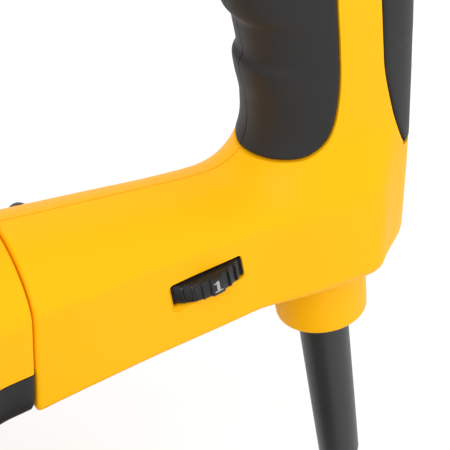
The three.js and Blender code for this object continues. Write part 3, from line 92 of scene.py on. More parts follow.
def makeStage():
    world = bpy.data.worlds.new("studio")
    scene.world = world
    world.use_nodes = True
    world.node_tree.nodes["Background"].inputs["Color"].default_value = (1, 1, 1, 1)
    world.node_tree.nodes["Background"].inputs["Strength"].default_value = light["world"]
    for name, power, size, offset in [
        ("key", light["key"], 1.6, (-1.1, -1.5, 1.5)),
        ("fill", light["fill"], 2.0, (1.9, -0.9, 0.9)),
        ("top", light["top"], 1.8, (0.2, 0.7, 2.2)),
    ]:
        data = bpy.data.lights.new(name, "AREA")
        data.shape = "DISK"
        data.size = size
        data.energy = power
        lamp = bpy.data.objects.new(name, data)
        scene.collection.objects.link(lamp)
        lamp.location = rearOrigin + Vector(offset)
        lamp.rotation_euler = Vector(offset).to_track_quat("Z", "Y").to_euler()
    floor = bpy.data.objects.new("floor", bpy.data.meshes.new("floor"))
    half = 6
    corners = [(-half, -half, 0), (half, -half, 0), (half, half, 0), (-half, half, 0)]
    floor.data.from_pydata(corners, [], [(0, 1, 2, 3)])
    scene.collection.objects.link(floor)
    paper = bpy.data.materials.new("pale floor")
    paper.use_nodes = True
    shader = paper.node_tree.nodes["Principled BSDF"]
    shader.inputs["Base Color"].default_value = (0.93, 0.93, 0.93, 1)
    shader.inputs["Roughness"].default_value = 0.9
    shader.inputs["Specular IOR Level"].default_value = 0.1
    floor.data.materials.append(paper)


makeStage()
print("camera and studio made")

# ---- materials: each has its colour, a fine moulded or machined grain, and a faint uneven tone

def finish(name, color, roughness, metallic=0.0, grain=1600.0, grainDepth=0.12, mottle=0.04,
           brushed=None, roughSpread=0.08, reflection=0.5):
    made = bpy.data.materials.new(name)
    made.use_nodes = True
    tree = made.node_tree
    shader = tree.nodes["Principled BSDF"]
    shader.inputs["Metallic"].default_value = metallic
    shader.inputs["Specular IOR Level"].default_value = reflection
    place = tree.nodes.new("ShaderNodeTexCoord").outputs["Object"]
    if brushed:  # stretch the grain along one direction
        mapping = tree.nodes.new("ShaderNodeMapping")
        mapping.inputs["Scale"].default_value = brushed
        tree.links.new(place, mapping.inputs["Vector"])
        grainPlace = mapping.outputs["Vector"]
    else:
        grainPlace = place
    fine = tree.nodes.new("ShaderNodeTexNoise")
    fine.inputs["Scale"].default_value = grain
    fine.inputs["Detail"].default_value = 3
    tree.links.new(grainPlace, fine.inputs["Vector"])
    broad = tree.nodes.new("ShaderNodeTexNoise")
    broad.inputs["Scale"].default_value = 28
    broad.inputs["Detail"].default_value = 4
    tree.links.new(place, broad.inputs["Vector"])
    ramp = tree.nodes.new("ShaderNodeMix")
    ramp.data_type = "RGBA"
    low = [c * (1 - mottle) for c in color]
    high = [min(1, c * (1 + mottle)) for c in color]
    ramp.inputs["A"].default_value = (*low, 1)
    ramp.inputs["B"].default_value = (*high, 1)
    tree.links.new(broad.outputs["Fac"], ramp.inputs["Factor"])
    tree.links.new(ramp.outputs["Result"], shader.inputs["Base Color"])
    spread = tree.nodes.new("ShaderNodeMapRange")
    spread.inputs["To Min"].default_value = max(0.02, roughness - roughSpread)
    spread.inputs["To Max"].default_value = min(1, roughness + roughSpread)
    tree.links.new(fine.outputs["Fac"], spread.inputs["Value"])
    tree.links.new(spread.outputs["Result"], shader.inputs["Roughness"])
    bump = tree.nodes.new("ShaderNodeBump")
    bump.inputs["Strength"].default_value = grainDepth
    bump.inputs["Distance"].default_value = 0.0002
    tree.links.new(fine.outputs["Fac"], bump.inputs["Height"])
    tree.links.new(bump.outputs["Normal"], shader.inputs["Normal"])
    return made


yellowPlastic = finish("yellow moulded plastic", (1.0, 0.475, 0.002), 0.46, mottle=0.012, grainDepth=0.05,
                       reflection=0.12)
blackPlastic = finish("black moulded plastic", (0.015, 0.015, 0.0155), 0.45, grainDepth=0.15, mottle=0.1,
                      reflection=0.28)
softGrip = finish("soft grip rubber", (0.019, 0.019, 0.0195), 0.55, grain=2600, grainDepth=0.2, mottle=0.08,
                  reflection=0.25)
cordRubber = finish("cord rubber", (0.025, 0.026, 0.027), 0.4, grain=900, grainDepth=0.06, mottle=0.1, reflection=0.4)
dialPlastic = finish("dial plastic", (0.012, 0.012, 0.0125), 0.38, grainDepth=0.08, mottle=0.1, reflection=0.35)
printWhite = finish("printed digit", (0.40, 0.40, 0.41), 0.5, grainDepth=0.02, mottle=0.05, reflection=0.2)
castAlloy = finish("cast alloy", (0.52, 0.53, 0.54), 0.48, 0.85, grain=700, grainDepth=0.35, mottle=0.1)
brightSteel = finish("ground steel", (0.56, 0.57, 0.58), 0.28, 1.0, grain=500, brushed=(1, 14, 1), grainDepth=0.1)
darkSteel = finish("blackened steel", (0.10, 0.105, 0.11), 0.42, 0.9, grain=900, grainDepth=0.15, mottle=0.15)
zincPlate = finish("plated sheet steel", (0.50, 0.51, 0.52), 0.36, 1.0, grain=260, grainDepth=0.12, mottle=0.12)
sheetStack = finish("sheet stack", (0.24, 0.245, 0.25), 0.45, 0.9, grain=900, brushed=(30, 1, 1), grainDepth=0.5)
copperWire = finish("copper winding", (0.72, 0.30, 0.12), 0.32, 1.0, grain=300, brushed=(1, 6, 6), grainDepth=0.5)
discSteel = finish("disc steel", (0.42, 0.43, 0.45), 0.33, 1.0, grain=420, grainDepth=0.1, mottle=0.1)
diamondGrit = finish("diamond grit", (0.17, 0.16, 0.15), 0.75, 0.5, grain=1400, grainDepth=1.0, mottle=0.4)

# ---- closed solids


def meshOf(points, faces, outward=True):
    mesh = bpy.data.meshes.new("solid")
    mesh.from_pydata([tuple(p) for p in points], [], faces)
    if outward:
        shape = bmesh.new()
        shape.from_mesh(mesh)
        bmesh.ops.recalc_face_normals(shape, faces=shape.faces)
        if shape.calc_volume(signed=True) < 0:
            bmesh.ops.reverse_faces(shape, faces=shape.faces)
        shape.to_mesh(mesh)
        shape.free()
    return mesh


def evaluated(mesh, addModifiers):
    thing = bpy.data.objects.new("work", mesh)
    scene.collection.objects.link(thing)
    extra = addModifiers(thing) or []
    made = bpy.data.meshes.new_from_object(thing.evaluated_get(bpy.context.evaluated_depsgraph_get()))
    for one in [thing, *extra]:
        bpy.data.objects.remove(one)
    return made


def combine(base, operation, others):
    for other in others:
        def add(thing, solver="MANIFOLD"):
            tool = bpy.data.objects.new("tool", other)
            scene.collection.objects.link(tool)
            step = thing.modifiers.new("join", "BOOLEAN")
            step.operation = operation
            step.solver = solver
            step.object = tool
            return [tool]
        made = evaluated(base, add)
        if operation != "INTERSECT" and len(made.polygons) == 0:
            made = evaluated(base, lambda thing: add(thing, "EXACT"))
        base = made
    return base


def joined(base, *others):
    return combine(base, "UNION", others)


def cut(base, *others):
    return combine(base, "DIFFERENCE", others)


def common(base, *others):
    return combine(base, "INTERSECT", others)


def placed(mesh, matrix):
    mesh = mesh.copy()
    mesh.transform(matrix)
    return mesh


def lathe(profile, start=(0, 0, 0), way=(0, 0, 1), sides=96):
    # profile: (radius, distance along the axis), from the axis to the axis or closed on itself
    closed = profile[0] == profile[-1]
    rows = profile[:-1] if closed else profile
    points, rings = [], []
    for radius, along in rows:
        if radius < 1e-6:
            rings.append([len(points)] * sides)
            points.append((0, 0, along))
        else:
            rings.append(list(range(len(points), len(points) + sides)))
            points += [
                (radius * math.cos(2 * math.pi * i / sides), radius * math.sin(2 * math.pi * i / sides), along)
                for i in range(sides)
            ]
    pairs = list(zip(rings, rings[1:] + ([rings[0]] if closed else [])))[: None if closed else len(rings) - 1]
    faces = []
    for a, b in pairs:
        for i in range(sides):
            k = (i + 1) % sides
            face = list(dict.fromkeys([a[i], a[k], b[k], b[i]]))
            if len(face) > 2:
                faces.append(face)
    mesh = meshOf(points, faces)
    turn = Vector((0, 0, 1)).rotation_difference(Vector(way).normalized()).to_matrix().to_4x4()
    mesh.transform(Matrix.Translation(Vector(start)) @ turn)
    return mesh


def rod(radius, start, end, sides=64):
    way = Vector(end) - Vector(start)
    return lathe([(0, 0), (radius, 0), (radius, way.length), (0, way.length)], start, way, sides)


def crossRod(radius, x, z, y0, y1, sides=64):
    return rod(radius, (x, y0, z), (x, y1, z), sides)


def tube(inner, outer, start, end, sides=96):
    way = Vector(end) - Vector(start)
    high = way.length
    return lathe([(inner, 0), (outer, 0), (outer, high), (inner, high), (inner, 0)], start, way, sides)


def crossTube(inner, outer, x, z, y0, y1, sides=96):
    return tube(inner, outer, (x, y0, z), (x, y1, z), sides)


def block(low, high):
    corners = [(x, y, z) for x in (low[0], high[0]) for y in (low[1], high[1]) for z in (low[2], high[2])]
    return meshOf(corners, [(0, 1, 3, 2), (4, 6, 7, 5), (0, 4, 5, 1), (2, 3, 7, 6), (0, 2, 6, 4), (1, 5, 7, 3)])


def turnedBlock(middle, size, angle):
    half = [s / 2 for s in size]
    mesh = block([-h for h in half], half)
    mesh.transform(Matrix.Translation(Vector(middle)) @ Matrix.Rotation(math.radians(angle), 4, "Y"))
    return mesh


def slab(outline, y0, y1):
    # an outline of (x, z) pushed along Y
    count = len(outline)
    points = [(x, y0, z) for x, z in outline] + [(x, y1, z) for x, z in outline]
    faces = [[i, (i + 1) % count, (i + 1) % count + count, i + count] for i in range(count)]
    faces += [list(range(count))[::-1], list(range(count, 2 * count))]
    return meshOf(points, faces)


def loft(rings):
    count = len(rings[0])
    points = [p for ring in rings for p in ring]
    faces = []
    for r in range(len(rings) - 1):
        for i in range(count):
            a, b = r * count + i, r * count + (i + 1) % count
            faces.append((a, b, b + count, a + count))
    for r in (0, len(rings) - 1):
        middle = sum((Vector(p) for p in rings[r]), Vector()) / count
        points.append(tuple(middle))
        faces += [(len(points) - 1, r * count + i, r * count + (i + 1) % count) for i in range(count)]
    return meshOf(points, faces)


def bulge(value, squareness):
    return math.copysign(abs(value) ** (2 / squareness), value)


def arcPoints(x, z, radius, start, end, steps):
    angles = [math.radians(start + (end - start) * i / steps) for i in range(steps + 1)]
    return [(x + radius * math.cos(a), z + radius * math.sin(a)) for a in angles]


def grown(outline, distance):
    made = []
    for i, (x, z) in enumerate(outline):
        before, after = outline[i - 1], outline[(i + 1) % len(outline)]
        way = Vector((after[0] - before[0], after[1] - before[1])).normalized()
        made.append((x + way.y * distance, z - way.x * distance))
    return made


def through(knots):
    # a smooth curve through (position, value) knots, for single numbers and for arrays
    at = np.array([k[0] for k in knots], float)
    value = np.array([k[1] for k in knots], float)
    before, after = np.maximum(np.arange(len(at)) - 1, 0), np.minimum(np.arange(len(at)) + 1, len(at) - 1)
    slope = (value[after] - value[before]) / (at[after] - at[before])

    def curve(x):
        x = np.asarray(x, float)
        i = np.clip(np.searchsorted(at, x, side="left") - 1, 0, len(at) - 2)
        width = at[i + 1] - at[i]
        t = np.clip((x - at[i]) / width, 0, 1)
        ease = t * t * (3 - 2 * t)
        bend = slope[i] * t * (1 - t) ** 2 - slope[i + 1] * t * t * (1 - t)
        return value[i] + (value[i + 1] - value[i]) * ease + width * bend

    return curve


def splinePoints(knots, per):
    # points along a smooth curve through knots in space
    knots = [Vector(k) for k in knots]
    ends = [2 * knots[0] - knots[1], *knots, 2 * knots[-1] - knots[-2]]
    made = []
    for i in range(1, len(ends) - 2):
        a, b, c, d = ends[i - 1:i + 3]
        for k in range(per):
            t = k / per
            made.append(0.5 * (2 * b + (c - a) * t + (2 * a - 5 * b + 4 * c - d) * t * t
                               + (3 * b - a - 3 * c + d) * t ** 3))
    return made + [knots[-1]]


def bevelled(mesh, width, segments=2, angle=35):
    def add(thing):
        step = thing.modifiers.new("edge", "BEVEL")
        step.width = width
        step.segments = segments
        step.limit_method = "ANGLE"
        step.angle_limit = math.radians(angle)
        step.harden_normals = False
        step.use_clamp_overlap = True
    return evaluated(mesh, add)


def show(name, mesh, matrix, material, body, replaced=(), sharp=32):
    mesh = mesh.copy()
    mesh.transform(matrix)
    mesh.materials.clear()
    mesh.materials.append(material)
    mesh.polygons.foreach_set("material_index", [0] * len(mesh.polygons))
    mesh.shade_smooth()
    mesh.set_sharp_from_angle(angle=math.radians(sharp))
    mesh.update()
    piece = bpy.data.objects.new(name, mesh)
    scene.collection.objects.link(piece)
    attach(piece, body)
    if replaced:
        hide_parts(*replaced)
    return piece


# ---- skins of smooth distance fields, for the moulded handle


def smoothMin(a, b, reach):
    share = np.clip(reach - np.abs(a - b), 0, None) / reach
    return np.minimum(a, b) - share * share * reach / 4


def smoothMax(a, b, reach):
    return -smoothMin(-a, -b, reach)


def ovalDistance(a, b, halfA, halfB, power):
    # nearly the distance from a superellipse
    u, v = np.abs(a) / halfA, np.abs(b) / halfB
    size = (u ** power + v ** power + 1e-9) ** (1 / power)
    slope = np.hypot(u ** (power - 1) / halfA, v ** (power - 1) / halfB) * size ** (1 - power)
    return (size - 1) / np.maximum(slope, 0.4 / np.maximum(halfA, halfB))


def outlineDistance(outline, x, z):
    # distance from a closed outline in X and Z, less than zero inside it
    x, z = np.broadcast_arrays(x, z)
    shape, px, pz = x.shape, x.ravel(), z.ravel()
    best = np.full(px.shape, 1e9)
    inside = np.zeros(px.shape, bool)
    for (ax, az), (bx, bz) in zip(outline, outline[1:] + outline[:1]):
        dx, dz = bx - ax, bz - az
        t = np.clip(((px - ax) * dx + (pz - az) * dz) / (dx * dx + dz * dz + 1e-12), 0, 1)
        best = np.minimum(best, np.hypot(px - ax - t * dx, pz - az - t * dz))
        crosses = (az > pz) != (bz > pz)
        if dz:
            inside ^= crosses & (px < ax + dx * (pz - az) / dz)
    return np.where(inside, -best, best).reshape(shape)


def roundedOutline(outline, per=6):
    # a smooth closed curve through the outline's points
    knots = [Vector((x, z, 0)) for x, z in outline]
    made = []
    count = len(knots)
    for i in range(count):
        a, b, c, d = (knots[(i + k) % count] for k in (-1, 0, 1, 2))
        for k in range(per):
            t = k / per
            p = 0.5 * (2 * b + (c - a) * t + (2 * a - 5 * b + 4 * c - d) * t * t
                       + (3 * b - a - 3 * c + d) * t ** 3)
            made.append((p.x, p.y))
    return made


def steps(*parts):
    # grid places from (start, end, step) stretches that follow on
    made = []
    for start, end, step in parts:
        count = max(1, round((end - start) / step))
        made += [start + (end - start) * i / count for i in range(count)]
    return np.array(made + [parts[-1][1]], float)


def skinOf(field, xs, ys, zs, rounds=3):
    value = field(xs[:, None, None], ys[None, :, None], zs[None, None, :])
    value = np.where(np.abs(value) < 1e-6, 1e-6, value)
    cells = tuple(n - 1 for n in value.shape)
    grid = [xs, ys, zs]
    total = np.zeros((*cells, 3))
    hits = np.zeros(cells)
    quads = []
    ids = np.full(cells, -1, int)
    crossings = []
    for axis in range(3):
        low = [slice(None)] * 3
        high = [slice(None)] * 3
        low[axis], high[axis] = slice(0, -1), slice(1, None)
        a, b = value[tuple(low)], value[tuple(high)]
        crossed = (a < 0) != (b < 0)
        where = np.argwhere(crossed)
        va, vb = a[crossed], b[crossed]
        share = va / (va - vb)
        place = np.stack([grid[k][where[:, k]] for k in range(3)], 1)
        place[:, axis] += share * (grid[axis][where[:, axis] + 1] - grid[axis][where[:, axis]])
        others = [k for k in range(3) if k != axis]
        crossings.append((axis, others, where, va < 0))
        for du in (0, -1):
            for dv in (0, -1):
                cell = where.copy()
                cell[:, others[0]] += du
                cell[:, others[1]] += dv
                good = np.all((cell >= 0) & (cell < cells), axis=1)
                spot = tuple(cell[good].T)
                np.add.at(total, spot, place[good])
                np.add.at(hits, spot, 1)
    active = hits > 0
    ids[active] = np.arange(active.sum())
    points = total[active] / hits[active][:, None]
    for axis, others, where, outward in crossings:
        corners = []
        fine = np.ones(len(where), bool)
        for du, dv in ((0, 0), (-1, 0), (-1, -1), (0, -1)):
            cell = where.copy()
            cell[:, others[0]] += du
            cell[:, others[1]] += dv
            fine &= np.all((cell >= 0) & (cell < cells), axis=1)
            corners.append(ids[tuple(np.clip(cell, 0, np.array(cells) - 1).T)])
        quad = np.stack(corners, 1)[fine]
        flip = outward[fine] if axis != 1 else ~outward[fine]
        quad[~flip] = quad[~flip][:, ::-1]
        quads.append(quad)
    quads = np.concatenate(quads)
    reach = 0.6 * min(np.diff(axis).min() for axis in grid)
    start = points.copy()
    for _ in range(rounds):
        slope = np.zeros_like(points)
        for k in range(3):
            ahead, behind = points.copy(), points.copy()
            ahead[:, k] += 0.06
            behind[:, k] -= 0.06
            slope[:, k] = (field(*ahead.T) - field(*behind.T)) / 0.12
        size = np.sum(slope * slope, axis=1)
        shift = -field(*points.T) / np.maximum(size, 0.05)
        points = points + slope * np.clip(shift, -reach, reach)[:, None]
        points = start + np.clip(points - start, -2 * reach, 2 * reach)
    mesh = bpy.data.meshes.new("skin")
    mesh.from_pydata(points.tolist(), [], quads.tolist())
    shape = bmesh.new()
    shape.from_mesh(mesh)
    if shape.calc_volume(signed=True) < 0:
        bmesh.ops.reverse_faces(shape, faces=shape.faces)
    bmesh.ops.triangulate(shape, faces=shape.faces)
    shape.to_mesh(mesh)
    shape.free()
    return mesh


# ---- repeated details: one small piece set at many places
def makeRepeater():
    tree = bpy.data.node_groups.new("repeated detail", "GeometryNodeTree")
    for name, kind in (("Places", "Geometry"), ("Detail", "Object"), ("Size", "Float"), ("Finish", "Material")):
        tree.interface.new_socket(name, in_out="INPUT", socket_type="NodeSocket" + kind)
    tree.interface.new_socket("Details", in_out="OUTPUT", socket_type="NodeSocketGeometry")
    given, out = tree.nodes.new("NodeGroupInput"), tree.nodes.new("NodeGroupOutput")
    detail = tree.nodes.new("GeometryNodeObjectInfo")
    tree.links.new(given.outputs["Detail"], detail.inputs["Object"])
    turn = None
    for name, axis, pivot in (("way", "Z", "AUTO"), ("side", "X", "Z")):
        read = tree.nodes.new("GeometryNodeInputNamedAttribute")
        read.data_type = "FLOAT_VECTOR"
        read.inputs["Name"].default_value = name
        align = tree.nodes.new("FunctionNodeAlignRotationToVector")
        align.axis = axis
        align.pivot_axis = pivot
        tree.links.new(read.outputs["Attribute"], align.inputs["Vector"])
        if turn:
            tree.links.new(turn.outputs["Rotation"], align.inputs["Rotation"])
        turn = align
    spread = tree.nodes.new("GeometryNodeInstanceOnPoints")
    tree.links.new(given.outputs["Places"], spread.inputs["Points"])
    tree.links.new(detail.outputs["Geometry"], spread.inputs["Instance"])
    tree.links.new(turn.outputs["Rotation"], spread.inputs["Rotation"])
    tree.links.new(given.outputs["Size"], spread.inputs["Scale"])
    real = tree.nodes.new("GeometryNodeRealizeInstances")
    tree.links.new(spread.outputs["Instances"], real.inputs["Geometry"])
    paint = tree.nodes.new("GeometryNodeSetMaterial")
    tree.links.new(real.outputs["Geometry"], paint.inputs["Geometry"])
    tree.links.new(given.outputs["Finish"], paint.inputs["Material"])
    tree.links.new(paint.outputs["Geometry"], out.inputs["Details"])
    return tree


repeater = makeRepeater()


def repeated(detail, places, material, size=1.0):
    # places: (point, way, side) for each copy; the detail's own Z goes along way and X along side
    spots = bpy.data.meshes.new("places")
    spots.from_pydata([tuple(p) for p, way, side in places], [], [])
    for k, name in ((1, "way"), (2, "side")):
        stored = spots.attributes.new(name, "FLOAT_VECTOR", "POINT")
        for i, place in enumerate(places):
            stored.data[i].vector = Vector(place[k]).normalized()
    unit = bpy.data.objects.new("detail", detail)
    scene.collection.objects.link(unit)

    def add(thing):
        step = thing.modifiers.new("repeat", "NODES")
        step.node_group = repeater
        values = {"Detail": unit, "Size": size, "Finish": material}
        for socket in repeater.interface.items_tree:
            if socket.item_type == "SOCKET" and socket.in_out == "INPUT" and socket.name in values:
                step[socket.identifier] = values[socket.name]
        return [unit]

    return evaluated(spots, add)


# ---- the free cord: down from its protector to the floor, and wound up beside the tool
cordShape = {
    "diameter": 8.5, "protectorLength": 56.0, "protectorRadius": 7.7, "tipRadius": 6.2,
    "coilMiddle": (200.0, -52.0), "columns": (60.0, 51.0, 42.0), "layers": (4.6, 13.3, 22.0, 30.7),
    "lastTurnMiddle": (206.0, -44.0), "lastTurnRadius": 54.0, "lastTurnHeight": 39.6, "plugTilt": 22.0,
}
bossFoot = Vector((105, 0, -38.7))
bossLean = math.radians(7.3)
bossAxis = Vector((math.sin(bossLean), 0, -math.cos(bossLean)))
rearToTool = toolFrame.inverted() @ rearFrame


def routePoints():
    values = cordShape
    tip = rearToTool @ (bossFoot + bossAxis * (values["protectorLength"] - 1))
    route = [tip] + [Vector(p) for p in [
        (299.8, 0, 48.6), (299, 0.3, 33.8), (292.8, 1.2, 20.4), (281.8, 2.8, 10), (269.8, 4.8, 5.2), (259, 6.6, 4.6),
        (247, 7.8, 4.6), (235, 8, 4.6), (222, 8, 4.6), (210, 8, 4.6),
    ]]
    # the turns: three columns by four layers, the even layers inwards and the odd ones outwards
    middle = values["coilMiddle"]
    columns, layers = values["columns"], values["layers"]
    stops = [(columns[c if l % 2 == 0 else 2 - c], layers[l]) for l in range(len(layers)) for c in range(3)]
    perTurn = 16
    whole = len(stops) * perTurn - perTurn // 4
    for i in range(whole + 1):
        turn, part = divmod(i, perTurn)
        here = stops[min(turn, len(stops) - 1)]
        after = stops[min(turn + 1, len(stops) - 1)]
        share = max(0.0, (part / perTurn - 0.8) / 0.2)
        radius = here[0] + (after[0] - here[0]) * share
        height = here[1] + (after[1] - here[1]) * share
        angle = math.radians(90 + 360 * i / perTurn)
        route.append(Vector((middle[0] + radius * math.cos(angle), middle[1] + radius * math.sin(angle), height)))
    return route


def makeCord():
    values = cordShape
    route = routePoints()
    # the last half turn climbs onto the coil and ends at the plug
    lastMiddle, lastRadius = values["lastTurnMiddle"], values["lastTurnRadius"]
    for angle in range(15, 181, 15):
        share = min(1.0, angle / 90)
        a = math.radians(angle)
        low, high = values["layers"][-1], values["lastTurnHeight"]
        height = low + (high - low) * (3 - 2 * share) * share ** 2
        route.append(Vector((
            lastMiddle[0] + lastRadius * math.cos(a), lastMiddle[1] + lastRadius * math.sin(a), height,
        )))
    tilt = math.radians(values["plugTilt"])
    plugWay = Vector((0, -math.cos(tilt), math.sin(tilt)))
    half = values["diameter"] / 2
    plugFoot = Vector((
        lastMiddle[0] - lastRadius, lastMiddle[1] - half * math.tan(tilt), 35.5 + 6.5 * math.cos(tilt) + 0.3,
    ))
    route.append(plugFoot + plugWay * 3)
    world = [toolFrame @ p for p in route]
    curve = bpy.data.curves.new("mains_cord", "CURVE")
    curve.dimensions = "3D"
    curve.bevel_depth = half * 0.001
    curve.bevel_resolution = 5
    curve.resolution_u = 5
    curve.use_fill_caps = True
    line = curve.splines.new("BEZIER")
    line.bezier_points.add(len(world) - 1)
    for point, place in zip(line.bezier_points, world):
        point.co = place
        point.handle_left_type = point.handle_right_type = "AUTO"
    piece = bpy.data.objects.new("free_cord", curve)
    curve.materials.append(cordRubber)
    scene.collection.objects.link(piece)
    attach(piece, "tool")
    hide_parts("mains_cord", "cord_coil")

    # the plug: a ribbed neck under a round body, with two pins
    profile = [
        (0, 0), (6.0, 0), (6.5, 0.6), (6.7, 3), (6.2, 3.4), (6.2, 4.4), (7.0, 4.8), (7.2, 7), (6.7, 7.4), (6.7, 8.4),
        (7.5, 8.8), (7.7, 11), (7.2, 11.4), (7.2, 12.4), (8.0, 13), (9.2, 15.5), (12.2, 20), (15.6, 24.6),
        (17.8, 28.2),
        (19.0, 31.2), (19.4, 33), (19.5, 34.5), (19.5, 43.6), (19.1, 45.0), (18.2, 45.8), (17.4, 46), (0, 46),
    ]
    pins = [
        lathe([(0, 0), (2.4, 0), (2.4, 17.4), (2.1, 18.5), (1.2, 19), (0, 19)],
              plugFoot + plugWay * 45 + Vector((side, 0, 0)), plugWay, 24)
        for side in (-9.5, 9.5)
    ]
    plug = show("plug_body", lathe(profile, plugFoot, plugWay, 72), toolFrame, blackPlastic, "tool", ["mains_plug"])
    pinPiece = show("plug_pins", joined(*pins), toolFrame, brightSteel, "tool")

    # the protector: a smooth taper with rounded ends, held in the handle's boss by its flange
    long, wide, slim = values["protectorLength"], values["protectorRadius"], values["tipRadius"]
    bore = half + 0.05
    profile = [
        (bore, 0.0), (slim - 0.7, 0.0), (slim - 0.15, 0.35), (slim, 1.1), (slim + (wide - slim) * 0.35, long * 0.35),
        (slim + (wide - slim) * 0.7, long * 0.7), (wide, long), (wide, long + 4.3), (10.5, long + 4.4),
        (10.5, long + 8), (bore, long + 8), (bore, 0.0),
    ]
    tip = bossFoot + bossAxis * long
    protector = show(
        "protector_sleeve", lathe(profile, tip, -bossAxis, 96), rearFrame, cordRubber, "tool", ["cord_protector"],
    )


makeCord()

# ---- the moulded rear handle
handleShape = {
    "wall": 3.0, "seamX": 0.6, "partingGap": 0.3, "padDepth": 2.0, "padGap": 0.3, "armEnd": 108.0,
    "arch": 1.65, "farArch": 1.5, "farShoulder": 5.0, "cornerRounding": 1.5, "lipRounding": 1.6,
    "gripFillet": 15.0, "bossFillet": 8.0, "loopFillet": 12.0, "gripLow": -12.0, "gripHigh": 136.0,
    "loopHalfDeep": 15.0, "loopHalfWide": 16.0, "bossTip": 13.6, "bossSpread": 2.2, "bossLong": 34.0,
}
armWidth = through([(0, 26), (20, 24.8), (40, 23), (56, 22), (80, 21.2), (110, 20)])
armFarWidth = through([(0, 24.2), (15, 23.2), (33, 21.8), (55, 20.2), (110, 19.8)])
armTop = through([(0, 22.1), (15, 21.5), (34, 20.8), (55, 20), (68, 20), (110, 23)])
armBottom = through([(0, 27), (20, 23.9), (44, 21.2), (60, 19.3), (75, 17), (110, 12)])
armShoulder = through([(0, 5), (15, 6), (33, 7.5), (55, 9), (75, 10), (110, 12)])
gripFront = through([
    (-12, 80), (8, 80), (26, 79.8), (34, 79.7), (37, 79.6), (41, 79.3), (44, 78.7), (47.6, 77.8), (50.7, 77.2),
    (53, 76.9), (54.2, 77.1), (55.2, 77.8), (56.3, 78.2), (59, 77.9), (62, 77.3), (65, 76.7), (67, 76.3),
    (68.4, 75.6), (69.5, 74.6),
    (71.4, 73.3), (74.5, 72.4), (78, 72.1), (83, 73.2), (88, 75), (92, 75.6), (96, 75), (101, 73.2), (106, 72.4),
    (112, 72.8), (120, 74.5), (136, 78),
])
gripRear = through([
    (-12, 127.6), (8, 128.5), (20, 129.3), (36, 130.2), (74, 130.2), (100, 129), (120, 127), (136, 125),
])
gripHalf = through([(-12, 21), (8, 21.5), (20, 20.5), (36, 18), (120, 18), (136, 16)])
loopKnots = [
    (108, 118), (98, 137), (78, 143), (40, 144), (5, 142), (-18, 130), (-29, 108), (-33, 75), (-36, 45), (-40, 14),
]
loopPath = [(p.x, p.z) for p in splinePoints([(x, 0, z) for x, z in loopKnots], 12)]


def cornerDistance(y, z, width, bottom, rounding):
    # flat sides and a flat underside, with a rounded corner between
    dy, dz = np.abs(y) - (width - rounding), -z - (bottom - rounding)
    return np.hypot(np.maximum(dy, 0), np.maximum(dz, 0)) + np.minimum(np.maximum(dy, dz), 0) - rounding


def armSection(x, y, z, inset, rounding):
    # the far side is a little slimmer and its top falls away sooner
    far = y > 0
    width = np.where(far, armFarWidth(x), armWidth(x)) - inset
    shoulder = np.where(far, handleShape["farShoulder"], armShoulder(x))
    power = np.where(far, handleShape["farArch"], handleShape["arch"])
    above = ovalDistance(y, z - shoulder, width, armTop(x) - inset - shoulder, power)
    below = cornerDistance(y, z, width, armBottom(x) - inset, rounding)
    return np.where(z > shoulder, above, below)


def armField(x, y, z):
    side = armSection(x, y, z, 0, handleShape["cornerRounding"])
    side = smoothMax(side, handleShape["seamX"] - x, handleShape["lipRounding"])
    return smoothMax(side, x - handleShape["armEnd"], 4)


def gripField(x, y, z):
    front, rear, half = gripFront(z), gripRear(z), gripHalf(z)
    side = ovalDistance(x - (front + rear) / 2, y, (rear - front) / 2, half, 2.3)
    return smoothMax(smoothMax(side, handleShape["gripLow"] - z, 5), z - handleShape["gripHigh"], 6)


def loopField(x, y, z):
    fx, fz = np.broadcast_arrays(x, z)
    shape, px, pz = fx.shape, fx.ravel(), fz.ravel()
    best = np.full(px.shape, 1e9)
    out = np.zeros(px.shape)
    share = np.zeros(px.shape)
    last = len(loopPath) - 2
    for i, ((ax, az), (bx, bz)) in enumerate(zip(loopPath, loopPath[1:])):
        dx, dz = bx - ax, bz - az
        long = math.hypot(dx, dz)
        t = ((px - ax) * dx + (pz - az) * dz) / (long * long)
        t = np.clip(t, 0, 1)
        nx, nz = px - ax - t * dx, pz - az - t * dz
        far = np.hypot(nx, nz)
        closer = far < best
        best = np.where(closer, far, best)
        out = np.where(closer, far * np.sign(dx * (pz - az) - dz * (px - ax)), out)
        share = np.where(closer, (i + t) / (last + 1), share)
    out, share = out.reshape(shape), share.reshape(shape)
    flare = 1 + 0.25 * np.clip((share - 0.85) / 0.15, 0, 1)  # wider where it meets the arm
    return ovalDistance(out, y, handleShape["loopHalfDeep"] * flare, handleShape["loopHalfWide"] * flare, 2.6)


def bossField(x, y, z):
    dx, dz = x - bossFoot.x, z - bossFoot.z
    along = -(dx * bossAxis.x + dz * bossAxis.z)
    across = dx * bossAxis.z - dz * bossAxis.x
    values = handleShape
    radius = values["bossTip"] + values["bossSpread"] * np.clip(along / values["bossLong"], -0.2, 1.0)
    side = np.hypot(across, y) - radius
    return smoothMax(smoothMax(side, -along, 1.4), along - values["bossLong"], 4)


def handleField(x, y, z):
    values = handleShape
    body = smoothMin(armField(x, y, z), gripField(x, y, z), values["gripFillet"])
    body = smoothMin(body, loopField(x, y, z), values["loopFillet"])
    return smoothMin(body, bossField(x, y, z), values["bossFillet"])


